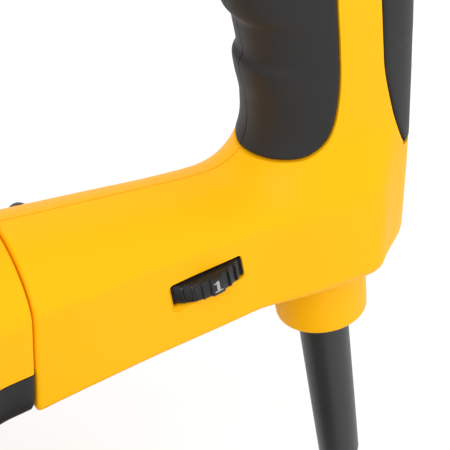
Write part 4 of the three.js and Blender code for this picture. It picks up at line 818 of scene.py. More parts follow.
frontPadOutline = roundedOutline([
    (60, 48), (66, 33), (71, 22.8), (74, 23.7), (77, 25.2), (83, 25.9), (89.9, 27.2), (95.3, 30.6), (98, 35),
    (99.4, 42.1), (99.9, 51.2), (99.4, 63.1), (98.4, 76.8), (98, 96), (96, 112), (88, 121), (60, 121),
])
rearPadOutline = roundedOutline([
    (150, 21), (125, 21.6), (122.6, 23.3), (120.8, 27), (118.9, 32.7), (116.3, 42.8), (114.9, 50), (114.2, 57.2),
    (113.3, 71), (112.5, 90), (113, 108), (116.5, 118), (150, 118),
][::-1])
wheelShape = {
    "x": 56.0, "z": -1.8, "radius": 17.5, "thick": 6.4, "proud": 3.5, "tilt": 10.0, "armHalf": 22.0,
    "slotLong": 22.6, "slotHigh": 7.6,
}
wheelTilt = math.radians(wheelShape["tilt"])
wheelAxis = Vector((-math.sin(wheelTilt), 0, math.cos(wheelTilt)))
wheelCentre = Vector((
    wheelShape["x"], -wheelShape["armHalf"] - wheelShape["proud"] + wheelShape["radius"], wheelShape["z"],
))


def wheelSlotCut():
    # a tilted rectangular mouth with rounded corners and a soft lead-in, over a round pocket for the wheel
    values = wheelShape
    mouth = []
    for grow, depth in ((2.0, -4.0), (1.0, -0.25), (0.35, 0.25), (0.0, 0.9), (0.0, 8.0)):
        long, high, corner = values["slotLong"] / 2 + grow, values["slotHigh"] / 2 + grow, 0.9 + grow * 0.8
        ring = []
        for sx, sz, start in ((1, 1, 0), (-1, 1, 90), (-1, -1, 180), (1, -1, 270)):
            ring += arcPoints(sx * (long - corner), sz * (high - corner), corner, start, start + 90, 6)
        mouth.append([(x, depth, z) for x, z in ring])
    tool = loft(mouth)
    tool.transform(
        Matrix.Translation((values["x"], -values["armHalf"], values["z"])) @ Matrix.Rotation(-wheelTilt, 4, "Y")
    )
    deep = values["slotHigh"] / 2
    pocket = rod(values["radius"] + 0.5, wheelCentre - wheelAxis * deep, wheelCentre + wheelAxis * deep, 96)
    outside = block((20, -60, -30), (90, -values["armHalf"] + 0.9, 30))
    return tool, cut(pocket, outside)


def housingEnvelope():
    return loft([housingRing(ahead, -0.3, 96) for ahead in [-0.4, *range(2, 92, 3)]])


# ---- the motor housing, from the gear end to the seam
housingShape = {
    "seam": 192.0, "flange": 60.0, "wall": 4.0, "stripThick": 2.0, "stripLevel": 12.0, "vents": 5, "ventPitch": 7.0,
    "ventWidth": 3.0, "ventHigh": 20.0, "ventDeep": 60.0, "firstVent": 24.0, "edge": 0.8,
}
swell = [(28, 33), (44, 40.5), (58, 44.5), (70, 45), (132, 45)]
housingWidth = through([(0, 26.3), (12, 27.4), *swell])
housingTop = through([(0, 22.6), (12, 25.2), (28, 32.5), *swell[1:]])
housingBottom = through([(0, 27), (12, 28.2), (28, 32.5), *swell[1:]])
archPower = through([(0, 1.65), (10, 1.8), (28, 2.6), (58, 4.8), (132, 5)])
footPower = through([(0, 9), (28, 6), (58, 5), (132, 5)])


def housingRing(ahead, inset, count=144):
    lean = bodyTilt * (1 - min(1, max(0, ahead) / 60))
    shoulder = 5 * (1 - min(1, max(0, ahead) / 58))
    width, top, bottom = (float(f(ahead)) - inset for f in (housingWidth, housingTop, housingBottom))
    arch, foot = float(archPower(ahead)), float(footPower(ahead))
    ring = []
    for i in range(count):
        angle = 2 * math.pi * (i + 0.5) / count
        power = arch if angle < math.pi else foot
        height = top - shoulder if angle < math.pi else bottom + shoulder
        side = width
        if angle < math.pi / 2:  # the far side falls away sooner near the seam
            share = 1 - min(1, max(0, ahead) / 40)
            power, side = arch - 0.15 * share, width - 1.8 * share
        elif angle > math.pi * 1.5:
            side = width - 1.8 * (1 - min(1, max(0, ahead) / 40))
        y, z = side * bulge(math.cos(angle), power), shoulder + height * bulge(math.sin(angle), power)
        ring.append((housingShape["seam"] - ahead + z * math.sin(lean), y, z * math.cos(lean)))
    return ring


housingLong = housingShape["seam"] - housingShape["flange"] - 0.3


def housingLoft(inset, start=0.0, end=housingLong, rounding=0.0):
    stops = [start + (end - start) * i / 66 for i in range(67)]
    rings = [housingRing(s, inset) for s in stops]
    if rounding:  # a small round at each end
        ends = [(0.0, 1.0), (0.3, 0.45), (0.65, 0.12)]
        first = [housingRing(start + rounding * a, inset + rounding * b) for a, b in ends]
        last = [housingRing(end - rounding * a, inset + rounding * b) for a, b in ends[::-1]]
        near, far = housingRing(start + rounding, inset), housingRing(end - rounding, inset)
        rings = first + [near] + rings[2:-2] + [far] + last
    return loft(rings)


def makeHousing():
    values = housingShape
    level = -values["stripLevel"]
    under = block((values["flange"] - 5, -60, -60), (values["seam"] + 20, 60, level))
    underGap = block((values["flange"] - 5, -60, -60), (values["seam"] + 20, 60, level + 0.3))
    bed = housingLoft(values["stripThick"] + 0.3, -2, housingLong + 2)
    groove = common(cut(housingLoft(-3, -1, housingLong + 1), bed), underGap)
    deep, reach, width = values["ventDeep"], values["ventHigh"] / 2, values["ventWidth"] / 2
    ends = arcPoints(0, reach - width, width, 0, 180, 10) + arcPoints(0, width - reach, width, 180, 360, 10)
    opening = slab(ends, -deep, deep)
    places = [
        ((values["seam"] - values["firstVent"] - i * values["ventPitch"], 0, 4), (0, 0, 1), (1, 0, 0))
        for i in range(values["vents"])
    ]
    vents = repeated(opening, places, blackPlastic)
    room = housingLoft(values["wall"], -2, housingLong + 2)
    shell = cut(housingLoft(0, rounding=values["edge"]), room, groove, vents)
    show("motor_housing_shell", shell, headFrame, yellowPlastic, "tool", ["motor_housing"])
    strip = common(
        cut(housingLoft(0, rounding=values["edge"]), housingLoft(values["stripThick"], -2, housingLong + 2)), under,
    )
    show("motor_strip", strip, headFrame, blackPlastic, "tool", ["motor_lower_strip"])


makeHousing()
print("housing made")

# ---- handle shells
screwPlaces = [(14, 12.5), (88, 2), (121, 60), (60, 143), (-28, 108)]
triggerSlot = block((50, -7.5, 82.6), (84.5, 7.5, 121))


def headSeat(x, z):
    # how far out a screw's head sits: less in the slim loop than in the arm and grip
    return 8 if z > 100 or x < 0 else 14


padShape = {"edge": 0.8, "depth": 2.0, "proud": 0.15, "low": 15.0, "high": 121.0}


def makeHandle():
    values = handleShape
    xs = steps((-62, -1.2, 1.4), (-1.2, 3.6, 0.4), (3.6, 136, 1.0))
    ys = steps((-28.2, 28.2, 1.0))
    zs = steps((-44, -34, 0.5), (-34, 30, 0.9), (30, 124, 1.2), (124, 164, 1.2))
    outer = skinOf(handleField, xs, ys, zs)
    coarseX, coarseY, coarseZ = steps((-60, 134, 2.4)), steps((-26, 26, 2.2)), steps((-42, 162, 2.4))

    def hollowField(x, y, z):
        return smoothMax(handleField(x, y, z) + values["wall"] + 1.0, -36 - z, 2)

    def roomField(x, y, z):
        # the arm's end at the seam stays open, so its hollow runs on past it
        arm = np.maximum(armSection(x, y, z, values["wall"], 1), np.maximum(-6 - x, x - 40))
        return np.minimum(hollowField(x, y, z), arm)

    hollow = skinOf(roomField, steps((-60, -8, 2.4), (-8, 134, 2.2)), coarseY, coarseZ, rounds=2)
    padRoom = skinOf(lambda x, y, z: handleField(x, y, z) + values["padDepth"] + values["padGap"],
                     steps((52, 136, 1.5)), steps((-26, 26, 1.3)), steps((0, 134, 1.5)), rounds=2)
    band = block((50, -40, 14.7), (160, 40, 121.3))
    recesses = [
        cut(common(slab(grown(outline, values["padGap"]), -40, 40), band), padRoom)
        for outline in (frontPadOutline, rearPadOutline)
    ]
    envelope = placed(housingEnvelope(), headToRear)
    mouth, pocket = wheelSlotCut()
    posts = [common(crossRod(4.2, x, z, -60, 60, 32), outer) for x, z in screwPlaces]
    whole = joined(cut(outer, hollow), *posts)
    whole = cut(
        whole, envelope, *recesses, triggerSlot,
        rod(cordShape["protectorRadius"] + 0.4, bossFoot - bossAxis * 34, bossFoot + bossAxis * 5, 64),
        rod(10.8, bossFoot - bossAxis * 34, bossFoot - bossAxis * 4, 48),
        crossRod(2.1, *triggerPivot, -12.8, 12.8, 24),
        *[crossRod(2.1, x, z, -12, 60, 24) for x, z in screwPlaces],
        *[crossRod(4, x, z, headSeat(x, z), 60, 40) for x, z in screwPlaces],
    )
    half = values["partingGap"] / 2
    left = common(whole, block((-120, -60, -120), (200, -half, 220)))
    right = common(whole, block((-120, half, -120), (200, 60, 220)))
    left = cut(left, mouth, pocket, crossRod(5.4, 105.5, 96, -40, 0, 48))
    show("handle_left", left, rearFrame, yellowPlastic, "tool", ["handle_shell_left"])
    show("handle_right", right, rearFrame, yellowPlastic, "tool", ["handle_shell_right"])
    print("handle shells made", len(left.polygons), len(right.polygons))


makeHandle()

# ---- soft grip pads, with a rounded edge all round


def makePads():
    values = padShape
    for name, outline, xs, nodesUsed in (
        ("front_pad", frontPadOutline, steps((66, 102, 0.6)), ["front_pad_left", "front_pad_right"]),
        ("rear_insert", rearPadOutline, steps((108, 136, 0.6)), ["rear_pad"]),
    ):
        def padField(x, y, z):
            surface = handleField(x, y, z) - values["proud"]
            edge = outlineDistance(outline, x, z)
            band = np.maximum(values["low"] - z, z - values["high"])
            side = smoothMax(smoothMax(surface, edge, values["edge"] * 2), band, values["edge"] * 2)
            return np.maximum(side, -(surface + values["depth"]))

        pad = skinOf(padField, xs, steps((-22.5, 22.5, 0.6)), steps((13.5, 122.5, 0.6)))
        pad = cut(pad, triggerSlot)
        if name == "front_pad":
            half = handleShape["partingGap"] / 2
            left = common(pad, block((0, -60, 0), (200, -half, 200)))
            right = common(pad, block((0, half, 0), (200, 60, 200)))
            show(name + "_near", left, rearFrame, softGrip, "tool", [nodesUsed[0]])
            show(name + "_far", right, rearFrame, softGrip, "tool", [nodesUsed[1]])
        else:
            show(name, pad, rearFrame, softGrip, "tool", nodesUsed)
        print(name, len(pad.polygons))


makePads()

# ---- the speed wheel: a knurled rim with smooth pads that carry digits
dialShape = {"teeth": 72, "toothHeight": 0.7, "digitHeight": 3.6, "digits": 6, "firstPad": 35, "padHalf": 7.2}


def digitMesh(number, height):
    if number == 1:  # a plain upright with a flag and a foot
        shapes = [((-0.13, 0.0), (0.13, 1.0)), ((-0.36, 0.0), (0.36, 0.11)), ((-0.36, 0.80), (-0.05, 0.91))]
        made = joined(*[block((a[0], a[1], -0.4), (b[0], b[1], 0.4)) for a, b in shapes])
        made.transform(Matrix.Diagonal((height, height, 1, 1)) @ Matrix.Translation((0, -0.5, 0)))
        return made
    words = bpy.data.curves.new("digit", "FONT")
    words.body = str(number)
    words.size = height * 1.35
    words.extrude = 0.4
    words.align_x, words.align_y = "CENTER", "CENTER"
    thing = bpy.data.objects.new("digit", words)
    scene.collection.objects.link(thing)
    made = bpy.data.meshes.new_from_object(thing.evaluated_get(bpy.context.evaluated_depsgraph_get()))
    bpy.data.objects.remove(thing)
    return made


def gathered(name, meshes):
    # several meshes as one, not joined
    made = bpy.data.meshes.new(name)
    shape = bmesh.new()
    for mesh in meshes:
        shape.from_mesh(mesh)
    shape.to_mesh(made)
    shape.free()
    return made


def makeWheel():
    values = wheelShape
    dial = dialShape
    turn = Matrix.Translation(wheelCentre) @ Matrix.Rotation(-wheelTilt, 4, "Y")
    radius, half = values["radius"], values["thick"] / 2
    low = radius - dial["toothHeight"]
    hub = 2.5
    core = lathe([
        (0, -half - hub), (3, -half - hub), (3, -half), (low - 0.7, -half), (low - 0.2, -half + 0.2),
        (low, -half + 0.8), (low, half - 0.8), (low - 0.2, half - 0.2), (low - 0.7, half), (3, half),
        (3, half + hub), (0, half + hub),
    ], sides=144)
    # one tooth: a rounded bar across the rim, its Z pointing out of the rim and its X along the wheel's axis
    wide = 2 * math.pi * radius / dial["teeth"] * 0.5
    tooth = loft([
        [(-long, -broad, at), (long, -broad, at), (long, broad, at), (-long, broad, at)]
        for long, broad, at in (
            (half - 0.3, wide * 0.5, -0.6), (half - 0.3, wide * 0.5, 0.25),
            (half - 0.9, wide * 0.3, dial["toothHeight"]),
        )
    ])
    places = []
    for i in range(dial["teeth"]):
        if (i + 6) % 12 >= 3 and i % 2 == 0:
            angle = 2 * math.pi * i / dial["teeth"]
            way = (math.cos(angle), math.sin(angle), 0)
            places.append((tuple(low * w for w in way), way, (0, 0, 1)))
    teeth = repeated(tooth, places, dialPlastic)
    pads, digits = [], []
    for i in range(dial["digits"]):
        angle = dial["firstPad"] + 360 / dial["digits"] * i
        side = dial["padHalf"]
        arc = (arcPoints(0, 0, radius, angle - side, angle + side, 10)
               + arcPoints(0, 0, low - 1, angle + side, angle - side, 10))
        pad = slab(arc, -half + 0.35, half - 0.35)
        pad.transform(Matrix(((1, 0, 0, 0), (0, 0, 1, 0), (0, 1, 0, 0), (0, 0, 0, 1))))
        pad = meshOf([v.co for v in pad.vertices], [p.vertices[:] for p in pad.polygons])
        pads.append(bevelled(pad, 0.25, 2, 50))
        number = (i - 4) % 6 + 1
        mark = digitMesh(number, dial["digitHeight"])
        a = math.radians(angle)
        out, along = Vector((math.cos(a), math.sin(a), 0)), Vector((-math.sin(a), math.cos(a), 0))
        flat = mark.copy()
        for v in flat.vertices:  # wrapped round the rim, standing a little proud of it
            across = v.co.x / radius
            reach = radius + (0.06 if v.co.z > 0 else -0.3)
            spot = out * math.cos(across) * reach + along * math.sin(across) * reach
            v.co = (spot.x, spot.y, v.co.y)
        digits.append(flat)
    wheel = gathered("wheel", [core, teeth, *pads])
    show("dial_wheel", wheel, rearFrame @ turn, dialPlastic, "speed_dial", ["speed_wheel"])
    marks = gathered("marks", digits)
    show("dial_digits", marks, rearFrame @ turn, printWhite, "speed_dial")


makeWheel()
print("dial made")


# ---- trigger, lock-on button and the handle's screws
triggerShape = {"low": 86.0, "high": 119.0, "half": 6.8, "edge": 1.6, "pin": 1.8, "pinReach": 12.3}
lockOnFoot = (105.5, -10.7, 96)


def makeTrigger():
    values = triggerShape
    low, high, half = values["low"], values["high"], values["half"]
    outline = [
        (68.5, low), (86, low), (86, low + 18), (91, low + 23), (91, high), (75, high), (71, high - 6),
        (67.5, low + 18), (66.5, low + 8),
    ]
    soft = roundedOutline(outline[::-1], 5)
    trigger = bevelled(slab(soft, -half, half), values["edge"], 4, 50)
    trigger = joined(trigger, crossRod(values["pin"], *triggerPivot, -values["pinReach"], values["pinReach"], 32))
    show("trigger_key", trigger, rearFrame, blackPlastic, "trigger", ["trigger"])
    button = lathe([
        (0, 0), (6.3, 0), (6.3, 1.2), (5, 1.2), (5, 8.7), (4.6, 9.5), (3.6, 9.75), (2.4, 9.6), (0, 9.3),
    ], lockOnFoot, (0, -1, 0), 64)
    show("lock_on_key", button, rearFrame, blackPlastic, "lock_on", ["lock_on_button"])


def screwHead(radius, depth, shank, long):
    # a pan head with a cross recess; its Z points out of the part
    head = lathe([
        (0, 0), (radius * 0.55, 0), (radius * 0.86, -depth * 0.16), (radius, -depth * 0.55), (radius, -depth),
        (shank, -depth), (shank, -long), (0, -long),
    ], sides=32)
    bars = [block((-radius * 0.55, -0.35, -depth * 0.7), (radius * 0.55, 0.35, 1)),
            block((-0.35, -radius * 0.55, -depth * 0.7), (0.35, radius * 0.55, 1))]
    return cut(head, *bars)


def makeHandleScrews():
    places = [((x, headSeat(x, z) + 2.7, z), (0, 1, 0), (1, 0, 0)) for x, z in screwPlaces]
    for name, spots, used in (("handle_screws_lower", places[:2], ["handle_screw_1", "handle_screw_2"]),
                              ("handle_screws_upper", places[2:], [])):
        screws = repeated(screwHead(3.4, 2.4, 1.8, 12), spots, darkSteel)
        show(name, screws, rearFrame, darkSteel, "tool", used)


makeTrigger()
makeHandleScrews()
print("trigger and screws made")

# ---- discs: a slotted steel core with a grit rim, one segment repeated round
discShape = {
    "radius": 75.0, "thick": 2.4, "slots": 12, "bore": 11.0, "firstY": -58.0, "pitch": 26.0, "spindleZ": -38.0,
    "rim": 7.0, "slotHalf": 1.2, "slotDeep": 7.0, "slotEnd": 1.9, "holes": 6, "holeRadius": 3.2, "holeCircle": 38.0,
}


def makeDiscs():
    values = discShape
    half, count = values["thick"] / 2, values["slots"]
    for name, index in (("disc_inner", 0), ("disc_outer", 1)):
        middle = values["firstY"] - index * values["pitch"]
        outline = []
        slotHalf = math.degrees(values["slotHalf"] / values["radius"])
        coreRadius = values["radius"] - values["rim"]
        neck = coreRadius - values["slotDeep"]
        for i in range(count):
            start, end = 360 * i / count, 360 * i / count + 360 / count
            outline += arcPoints(0, 0, coreRadius, start + slotHalf, end - slotHalf, 10)
            outline += arcPoints(0, 0, neck, end - slotHalf, end - slotHalf, 1)[:1]
            foot = math.radians(end)
            cx, cz = (neck - values["slotHalf"]) * math.cos(foot), (neck - values["slotHalf"]) * math.sin(foot)
            outline += arcPoints(cx, cz, values["slotEnd"], end - 60, end - 300, 10)
            outline += arcPoints(0, 0, neck, end + slotHalf, end + slotHalf, 1)[:1]
        core = slab(outline, -half + 0.35, half - 0.35)
        circle = values["holeCircle"]
        holes = [
            crossRod(values["holeRadius"], circle * math.cos(a), circle * math.sin(a), -3, 3, 24)
            for a in [2 * math.pi * k / values["holes"] + 0.3 for k in range(values["holes"])]
        ]
        core = cut(core, crossRod(values["bore"], 0, 0, -3, 3, 64), *holes)
        place = Matrix.Translation((0, middle, values["spindleZ"]))
        # one diamond segment, with a rounded back and shallow grooves across its faces
        arc = 180 / count - slotHalf
        outer = arcPoints(0, 0, values["radius"], -arc, arc, 10)
        inner = arcPoints(0, 0, coreRadius - 0.3, arc, -arc, 10)
        segment = slab(outer + inner, -half, half)
        grooves = []
        for k in range(-3, 4):
            a = math.radians(k * 4.0)
            spot = (math.cos(a) * (coreRadius + 5), math.sin(a) * (coreRadius + 5))
            for side in (-1, 1):
                middleOf = (spot[0], side * half, spot[1])
                grooves.append(turnedBlock(middleOf, (5.5, 0.5, 0.9), -math.degrees(a) + 25))
        segment = cut(segment, *grooves)
        turned = meshOf(
            [(v.co.x, v.co.z, v.co.y) for v in segment.vertices], [p.vertices[:] for p in segment.polygons],
        )
        ways = []
        for i in range(count):
            a = math.radians(360 / count * (i + 0.5))
            ways.append(((0, 0, 0), (0, 1, 0), (math.cos(a), 0, math.sin(a))))
        segments = repeated(turned, ways, diamondGrit)
        show(name + "_core", placed(core, place), headFrame, discSteel, "spindle", ["diamond_" + name])
        show(name + "_segments", placed(segments, place), headFrame, diamondGrit, "spindle")
    spindleZ = values["spindleZ"]
    face = values["firstY"] + half
    flange = lathe([(11, 0), (20, 0), (21, 0.6), (21, 2.2), (17, 3.4), (15.5, 5.2), (11, 5.2), (11, 0)],
                   (0, face + 0.3, spindleZ), (0, 1, 0), 96)
    show("flange_ring", flange, headFrame, brightSteel, "spindle", ["inner_flange"])
    spacerLong = values["pitch"] - values["thick"] - 0.6
    spacer = lathe([(11, 0), (16.4, 0), (17, 0.6), (17, 3), (15.6, 4), (15.6, spacerLong - 4), (17, spacerLong - 3),
                    (17, spacerLong - 0.6), (16.4, spacerLong), (11, spacerLong), (11, 0)],
                   (0, face - values["pitch"] + 0.3, spindleZ), (0, 1, 0), 96)
    show("spacer_ring", spacer, headFrame, brightSteel, "spindle", ["disc_spacer"])
    nutY = values["firstY"] - values["pitch"] - half - 0.3
    nut = lathe([(7.3, 0), (19, 0), (19, 1.2), (18.2, 2), (17, 5.4), (16.2, 6), (8, 6), (7.3, 5.4), (7.3, 0)],
                (0, nutY, spindleZ), (0, -1, 0), 96)
    nut = cut(nut, *[crossRod(2.5, side * 14, spindleZ, nutY - 7, nutY - 2.5, 32) for side in (-1, 1)])
    show("nut_ring", nut, headFrame, darkSteel, "spindle", ["clamp_nut"])


makeDiscs()
print("discs made")

# ---- guard, cover and dust port, upright round the spindle
guardShape = {
    "radius": 86.0, "wall": 2.5, "innerY": -47.0, "depth": 51.0, "lowEdge": 44.0, "spindleHeight": 92.0,
    "ribs": 9, "studReach": 70.0, "studHeight": 60.0, "portRise": 14.0, "portBore": 16.5,
}


def guardOutline(inset, lowEdge, steps=72):
    values = guardShape
    radius = values["radius"] - inset
    return arcPoints(0, values["spindleHeight"], radius, 0, 180, steps) + [(-radius, lowEdge), (radius, lowEdge)]


def guardScrewPlaces():
    reach = guardShape["radius"] - 7
    height = guardShape["spindleHeight"]
    angles = [math.radians(a) for a in (15, 65, 115, 165)]
    return [(reach * math.cos(a), height + reach * math.sin(a)) for a in angles]


def makeGuard():
    values = guardShape
    innerY, outerY, low = values["innerY"], values["innerY"] - values["depth"], values["lowEdge"]
    coverY = outerY - values["wall"] - 0.3
    height = values["spindleHeight"]
    drum = bevelled(slab(guardOutline(0, low), outerY, innerY), 1.2, 3, 40)
    room = slab(guardOutline(values["wall"], low - 10), outerY - 3, innerY - values["wall"])
    rise = math.radians(values["portRise"])
    way = Vector((math.cos(rise), 0, math.sin(rise)))
    foot = Vector((58, innerY - values["depth"] / 2, height + 22))
    stub = cut(rod(values["portBore"] + 2.5, foot, foot + way * 46, 96), room)
    lugs = [common(crossRod(5, x, z, outerY, outerY + 9, 48), slab(guardOutline(1, low), outerY, innerY))
            for x, z in guardScrewPlaces()]
    body = joined(cut(drum, room), stub, *lugs)
    body = cut(
        body, rod(values["portBore"], foot - way * 5, foot + way * 47, 96),
        crossRod(28.3, 0, height, innerY - values["wall"] - 1, innerY + 1, 96),
        *[crossRod(2.1, x, z, outerY - 1, outerY + 10, 24) for x, z in guardScrewPlaces()],
    )
    show("guard_shell", body, toolFrame, blackPlastic, "tool", ["guard_body"])

    sleeve = values["portBore"] + 2.8
    end, bore = 40, values["portBore"]
    profile = [
        (sleeve, 0), (sleeve + 2.6, 0), (sleeve + 3, 0.5), (sleeve + 3, 4), (sleeve + 2.3, 4.6), (sleeve + 2.3, 6.4),
        (sleeve + 3, 7), (sleeve + 3, 9), (sleeve + 2.3, 9.6), (sleeve + 2.3, 11.4), (sleeve + 3, 12),
        (sleeve + 3, 14.6), (bore + 2.5, 17), (bore + 2.5, 24), (bore + 2.1, 24.4), (bore + 2.1, 25.6),
        (bore + 2.5, 26),
        (bore + 2.3, end - 1), (bore + 1.8, end), (bore, end), (bore, 10.3), (sleeve, 10.3), (sleeve, 0),
    ]
    show("port_sleeve", lathe(profile, foot + way * 36, way, 96), toolFrame, blackPlastic, "tool", ["dust_port"])

    plate = bevelled(slab(guardOutline(0, low), coverY, outerY - 0.3), 0.8, 2, 40)
    # raised ribs that fan out from the spindle, one rib repeated
    rib = bevelled(block((26, -1.1, -0.3), (74, 1.1, 0.7)), 0.5, 2, 40)
    spots = []
    for k in range(values["ribs"]):
        a = math.radians(20 + 140 * k / (values["ribs"] - 1))
        spots.append(((0, coverY + 0.25, height), (0, -1, 0), (math.cos(a), 0, math.sin(a))))
    ribs = repeated(rib, spots, blackPlastic)
    ribs = common(ribs, block((-100, coverY - 0.45, 0), (100, 0, 300)))
    pinHead = coverY - 0.8 - 2.5 - 0.3
    x0, z0 = -values["studReach"], values["studHeight"]
    pin = lathe([(0, 0), (7, 0), (8, 0.8), (8, 2.5), (4, 2.5), (4, 8), (0, 8)], (x0, pinHead - 3, z0), (0, 1, 0), 48)
    pin = common(pin, block((-200, pinHead - 3, 0), (200, coverY + 1, 300)))
    cover = joined(plate, pin)
    cover = cut(
        cover, crossRod(4.4, values["studReach"], z0, coverY - 2, outerY + 1, 48),
        *[crossRod(2.1, x, z, coverY - 2, outerY, 24) for x, z in guardScrewPlaces()],
    )
    show("cover_plate", joined(cover, ribs), toolFrame, blackPlastic, "tool", ["guard_cover"])
    places = [((x, coverY - 2.7, z), (0, -1, 0), (1, 0, 0)) for x, z in guardScrewPlaces()]
    screws = repeated(screwHead(3.6, 2.4, 1.8, 12), places, darkSteel)
    show("cover_screws", screws, toolFrame, darkSteel, "tool", ["guard_screw_1", "guard_screw_2"])


makeGuard()
print("guard made")

# ---- depth shoe with its rollers and clamp knob
shoeShape = {
    "front": -84.0, "rear": 118.0, "thick": 3.0, "lift": 2.5, "farY": 32.0, "travel": 35.0, "cheek": 2.5,
    "rollerRadius": 9.0, "rollerWide": 11.0, "rollerX": -97.0, "rollerGrooves": 5, "slotHalf": 4.4,
    "knobRadius": 16.0, "knobLobe": 2.0, "knobLobes": 5, "knobLong": 12.0, "studRadius": 4.0,
}


def makeShoe():
    values, guard = shoeShape, guardShape
    coverY = guard["innerY"] - guard["depth"] - guard["wall"] - 0.3
    cheekOuter, cheek = coverY - 0.8, values["cheek"]
    nearY = cheekOuter - cheek
    front, rear, lift, farY = values["front"], values["rear"], values["lift"], values["farY"]
    top = lift + values["thick"]
    plate = block((front, nearY, lift), (rear, farY, top))
    reach, height = guard["studReach"], guard["studHeight"]
    ear, earTop = 9.4, height + 12
    outline = [
        (front - 20, lift), (rear, lift), (rear, 20), (reach + ear, 34), (reach + ear, earTop), (reach - ear, earTop),
        (reach - ear, 40), (-reach + ear, 40), (-reach + ear, earTop), (-reach - ear, earTop), (-reach - ear, 34),
        (front - 20, 16),
    ]
    near = bevelled(slab(outline, nearY, cheekOuter), 0.6, 2, 40)
    innerY = guard["innerY"] + 1
    inner = bevelled(block((front, innerY, lift), (rear, innerY + cheek, 21)), 0.5, 2, 40)
    far = bevelled(block((front - 20, farY - cheek, lift), (rear, farY, 14)), 0.5, 2, 40)
    brackets = [
        slab([(front - 20, lift), (front + 2, lift), (front + 2, top), (front - 4, 8), (front - 4, 14),
              (front - 20, 14)], y, y + cheek)
        for y in (nearY + cheek + values["rollerWide"] + 1.2, farY - 2 * cheek - values["rollerWide"] - 1.2)
    ]
    runners = [
        bevelled(block((rear - 20, y, 0), (rear - 3, y + 16, top)), 0.8, 2, 40) for y in (nearY + 4, farY - 20)
    ]
    half = values["slotHalf"]
    slots = []
    for x in (-reach, reach):
        ends = arcPoints(x, height, half, 0, 180, 20) + arcPoints(x, height - values["travel"], half, 180, 360, 20)
        slots.append(slab(ends, nearY - 1, cheekOuter + 1))
    nearDisc, farDisc = discShape["firstY"] - discShape["pitch"] - 8, discShape["firstY"] + 8
    window = bevelled(block((-70, nearDisc, 0), (70, farDisc, 10)), 2.5, 4, 60)
    axle = crossRod(2.8, values["rollerX"], values["rollerRadius"], nearY - 5, farY + 5, 32)
    shoe = cut(joined(plate, near, inner, far, *brackets, *runners), window, axle, *slots)
    # scale marks beside the rear slot, one notch repeated
    notch = block((-1.6, -0.12, -0.2), (1.6, 0.12, 0.2))
    marks = []
    for k in range(11):
        across = reach - half - 2.6 - (0.8 if k % 5 else 0)
        up = height - values["travel"] + k * values["travel"] / 10
        marks.append(((across, nearY, up), (0, -1, 0), (1, 0, 0)))
    notches = repeated(notch, marks, darkSteel)
    shoe = cut(shoe, notches)
    show("shoe_frame", shoe, toolFrame, zincPlate, "shoe", ["depth_shoe"])
    long = farY - nearY + 4
    pin = lathe([(0, 0), (2.0, 0), (2.5, 0.5), (2.5, long - 0.5), (2.0, long), (0, long)],
                (values["rollerX"], nearY - 2, values["rollerRadius"]), (0, 1, 0), 48)
    show("roller_pin", pin, toolFrame, brightSteel, "shoe", ["roller_axle"])
    radius, wide = values["rollerRadius"], values["rollerWide"]
    for name, y in (("roller_left", nearY + cheek + 0.6), ("roller_right", farY - cheek - 0.6 - wide)):
        profile = [
            (2.9, 0), (5.5, 0), (6.0, 0.6), (7.4, 0.6), (7.9, 0), (radius - 0.8, 0), (radius - 0.15, 0.35),
            (radius, 1.0),
        ]
        grooves = values["rollerGrooves"]
        for k in range(grooves):
            at = 1.6 + (wide - 3.2) * (k + 0.5) / grooves
            profile += [(radius, at - 0.45), (radius - 0.5, at - 0.2), (radius - 0.5, at + 0.2), (radius, at + 0.45)]
        profile += [
            (radius, wide - 1.0), (radius - 0.15, wide - 0.35), (radius - 0.8, wide), (7.9, wide), (7.4, wide - 0.6),
            (6.0, wide - 0.6), (5.5, wide), (2.9, wide), (2.9, 0),
        ]
        roller = lathe(profile, (values["rollerX"], y, radius), (0, 1, 0), 72)
        show(name + "_wheel", roller, toolFrame, blackPlastic, name, [name])

    knobY = nearY - 0.6
    lobes = []
    for i in range(120):
        angle = 2 * math.pi * i / 120
        size = values["knobRadius"] + values["knobLobe"] * math.cos(values["knobLobes"] * angle)
        lobes.append((reach + size * math.cos(angle), height + size * math.sin(angle)))
    knobEnd = knobY - values["knobLong"]
    knob = bevelled(slab(lobes, knobEnd, knobY), 1.6, 4, 50)
    dish = lathe([(0, 0), (8.5, 0), (7.5, 1.4), (0, 1.8)], (reach, knobEnd - 0.01, height), (0, 1, 0), 64)
    stud = crossRod(values["studRadius"], reach, height, knobY - 1, guard["innerY"] - guard["depth"] + 2, 48)
    show("clamp_knob", joined(cut(knob, dish), stud), toolFrame, blackPlastic, "depth_knob", ["depth_knob"])


makeShoe()
print("shoe made")

# ---- gear housing and its cover, cast
gearShape = {
    "radius": 35.0, "halfWide": 38.0, "endY": 30.0, "wall": 4.0, "flangeHalf": 45.0, "bellStart": 22.0,
    "spindleZ": -38.0, "handleLean": 18.0, "screwHole": 2.1, "gripRings": 31, "gripRingPitch": 2.9,
}


def stadium(radius, steps=40):
    return arcPoints(0, 0, radius, 0, 180, steps) + arcPoints(0, gearShape["spindleZ"], radius, 180, 360, steps)


def squareRing(x, half, count=144):
    ring = []
    for i in range(count):
        a = 2 * math.pi * i / count
        ring.append((x, half * bulge(math.cos(a), 5), half * bulge(math.sin(a), 5)))
    return ring


